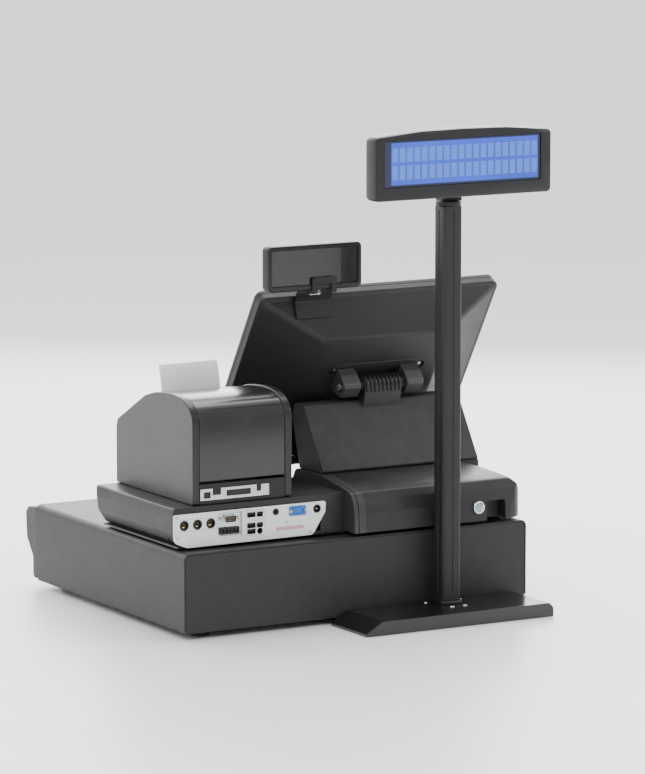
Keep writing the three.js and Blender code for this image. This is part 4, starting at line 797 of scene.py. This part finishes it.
rc.b.inputs["Subsurface Weight"].default_value = 0.2; rc.b.inputs["Subsurface Radius"].default_value = (0.002, 0.002, 0.002)
finish(o, rc.m, "housing", bevel=0, rep="receipt_strip", smooth=60)
# metal connector strip at the foot of the printer's rear side, with its dark notches
o = prism("printer_rear_plate", rect(110, 204, 162.5, 176.5, 0.8), "y", 174.0, 175.3, 4)
boolean(o, [prism("n", r, "y", 170, 180, 3) for r in (rect(176, 187, 168.5, 179, 0.6), rect(121, 127, 168.5, 179, 0.6), rect(190, 199, 165, 172.6, 0.6), rect(135, 168, 166, 173, 1.0))])
finish(o, M["nickel"], "housing", bevel=0.25, seg=2)
o = prism("printer_rear_socket", rect(137, 166, 167, 172.2, 0.8), "y", 172.5, 175.0, 3); finish(o, M["dark"], "housing", bevel=0.3, seg=2)

# ================================================================== pole display
o = prism("pole_foot_skin", [(-225, 0, 1), (40, 0, 0.6), (40, 3.6, 1.2), (17, 17, 5), (-219, 17, 5), (-225, 11, 5)], "y", 203.5, 289, 6)
finish(o, M["base"], "housing", bevel=1.4, seg=3, rep="pole_base", angle=32)
PX, PY = -112, 223
def ring4(k, r, z, seg=6): return [(PX + a, PY + b, z) for a, b in outline(rect(-k, k, -k, k, r), seg)]
o = prism("pole_skin", [(PX + a, PY + b) for a, b in outline(rect(-13, 13, -13, 13, 5), 8)], "z", 17.4, 505)
gr = [box("g", PX - 0.8, PX + 0.8, PY + 12.2, PY + 20, 30, 500), box("g", PX + 12.2, PX + 20, PY - 0.8, PY + 0.8, 30, 500), box("g", PX - 20, PX - 12.2, PY - 0.8, PY + 0.8, 30, 500)]
boolean(o, gr)
finish(o, M["case"], "housing", bevel=0.4, seg=2, rep="pole_tube", smooth=30)
o = loft("pole_collar", [ring4(13.2, 5, 17.2), ring4(15.6, 6, 17.2), ring4(15.6, 6, 19.6), ring4(14.8, 5.6, 21), ring4(13.2, 5, 21)], closed_ends=False)
finish(o, M["dark"], "housing", bevel=0.3, seg=2)
for i, (dx, dy) in enumerate(((-9, 27), (9, 27), (-24, -10), (24, -10))): screw(f"foot_screw_{i}", "z", PX + dx, PY + dy, 17.1, 3.2, h=1.2)
o = lathe("neck_collar", [(0, 505.3), (14.6, 505.3), (15.5, 506.2), (15.5, 510.6), (14, 512), (0, 512)], "z", PX, PY, 0, 48)
tb = prism("tb", [(217, 511), (231, 511), (231, 531, 5), (217, 531, 5)], "x", PX - 14, PX + 14, 6)
boolean(o, [tb], "UNION"); finish(o, M["dark"], "pole_neck", bevel=0.5, seg=2, rep="pole_swivel_neck")
hx0, hx1, hy0, hy1, hz0, hz1 = -239, 8, 226, 254, 518, 601; hc = (hx0 + hx1) / 2
def face(i):
    arch = [(hx0 + i + (hx1 - hx0 - 2 * i) * k / 16, 0) for k in range(17)]
    pts = [(hx0 + 4 + i, hz0 + i), (hx1 - 4 - i, hz0 + i), (hx1 - i, hz0 + 4 + i)]
    pts = outline([(hx1 - i, 560), (hx1 - i, 594.5 - i, 5), (hc + 60, 600.0 - i), (hc, 600.9 - i), (hc - 60, 600.0 - i), (hx0 + i, 594.5 - i, 5), (hx0 + i, 560), (hx0 + i, hz0 + i, 5), (hx1 - i, hz0 + i, 5)], 6)
    return pts
o = loft("head_shell", [[(a, y, b) for a, b in face(i)] for y, i in ((hy0, 5), (hy0 + 1.2, 2.6), (hy0 + 4, 0.8), (hy0 + 8, 0), (hy1 - 2.5, 0), (hy1 - 0.8, 0.6), (hy1, 1.8))])
boolean(o, [prism("hc", rect(hx0 + 15, hx1 - 13, hz0 + 16, hz1 - 11, 2.5), "y", hy1 - 6, hy1 + 5, 5), box("hn", PX - 17, PX + 17, hy0 - 5, 236, hz0 - 5, hz0 + 14.5)])
finish(o, M["head"], "pole_head", bevel=0.7, seg=3, rep="head_housing", smooth=32)
o = prism("vfd_window", rect(hx0 + 15.4, hx1 - 13.4, hz0 + 16.4, hz1 - 11.4, 2.2), "y", hy1 - 5, hy1 - 1.5, 5)
finish(o, M["vfd"], "pole_head", bevel=0.3, seg=2, rep="head_window")
for i, x in enumerate((-215, -16)): screw(f"head_screw_{i}", "y", x, 226.4, 560, 2.8, body="pole_head", h=0.8, sgn=-1)

# ================================================================== stage, light, camera
bm = bmesh.new(); bmesh.ops.create_grid(bm, x_segments=8, y_segments=8, size=30.0)
floor = new_obj("floor", bm); fm = N("floor_pale")
fm.link(fm.mix(fm.noise(2.5, 4), (0.93, 0.93, 0.93, 1), (0.965, 0.965, 0.96, 1)), fm.b.inputs["Base Color"]); fm.link(fm.math("ADD", fm.math("MULTIPLY", fm.noise(12, 4), 0.12), 0.32), fm.b.inputs["Roughness"])
floor.data.materials.append(fm.m); floor.location.z = -0.0003; floor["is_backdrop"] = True
w = bpy.data.worlds.new("studio"); bpy.context.scene.world = w; w.use_nodes = True
wt = w.node_tree; bg = wt.nodes["Background"]; bg.inputs[0].default_value = (0.97, 0.98, 1.0, 1)
wc = wt.nodes.new("ShaderNodeTexCoord"); ws = wt.nodes.new("ShaderNodeSeparateXYZ"); wm = wt.nodes.new("ShaderNodeMapRange")
wt.links.new(wc.outputs["Generated"], ws.inputs[0]); wt.links.new(ws.outputs["Y"], wm.inputs["Value"]); wt.links.new(wm.outputs["Result"], bg.inputs[1])
wm.inputs["From Min"].default_value = -0.85; wm.inputs["From Max"].default_value = 0.5; wm.inputs["To Min"].default_value = 2.3; wm.inputs["To Max"].default_value = 0.78
def area(name, loc, target, size, power, col=(1, 1, 1), sy=None):
    d = bpy.data.lights.new(name, "AREA"); d.energy = power; d.size = size; d.color = col
    if sy: d.shape = "RECTANGLE"; d.size_y = sy
    o = bpy.data.objects.new(name, d); COL.objects.link(o); o.location = loc
    o.rotation_euler = (Vector(target) - Vector(loc)).to_track_quat("-Z", "Y").to_euler(); return o
area("key", (1.5, 1.6, 1.9), (0, 0, 0.25), 1.2, 20, (1.0, 0.985, 0.96))
area("fill", (-2.1, 1.7, 1.5), (0, 0, 0.3), 0.55, 22, (0.95, 0.97, 1.0))
area("top", (-0.3, -0.5, 2.3), (0, 0, 0.2), 1.6, 34, (1, 1, 1))
area("back_softbox", (-1.1, -1.5, 1.05), (0.1, 0.1, 0.25), 2.4, 62, (1, 1, 1), sy=1.3)
area("front_soft", (0.6, -2.4, 1.5), (0, 0, 0.3), 1.6, 22, (1, 1, 1))

ALPHA = math.radians(25.5); f_px, k_mm = 1168.0, 1148.0
Zc = f_px * k_mm / 240.5; Xc = (374.9 - 322.5) * Zc / f_px
ex = (-math.cos(ALPHA), -math.sin(ALPHA)); ey = (math.sin(ALPHA), -math.cos(ALPHA))
det = ex[0] * ey[1] - ey[0] * ex[1]
sx_ = (-Xc * ey[1] + Zc * ey[0]) / det; sy_ = (-Zc * ex[0] + Xc * ex[1]) / det
cam_pos = P(sx_ + 240, sy_ + 201, k_mm)
cd = bpy.data.cameras.new("camera"); cam = bpy.data.objects.new("camera", cd); COL.objects.link(cam); bpy.context.scene.camera = cam
cam.location = cam_pos
aim = P(-30, 60, 268)
cam.rotation_euler = (aim - cam_pos).to_track_quat("-Z", "Y").to_euler()
cd.sensor_width = 36; cd.lens = 222; cd.clip_start = 0.1; cd.clip_end = 60

lo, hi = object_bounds()
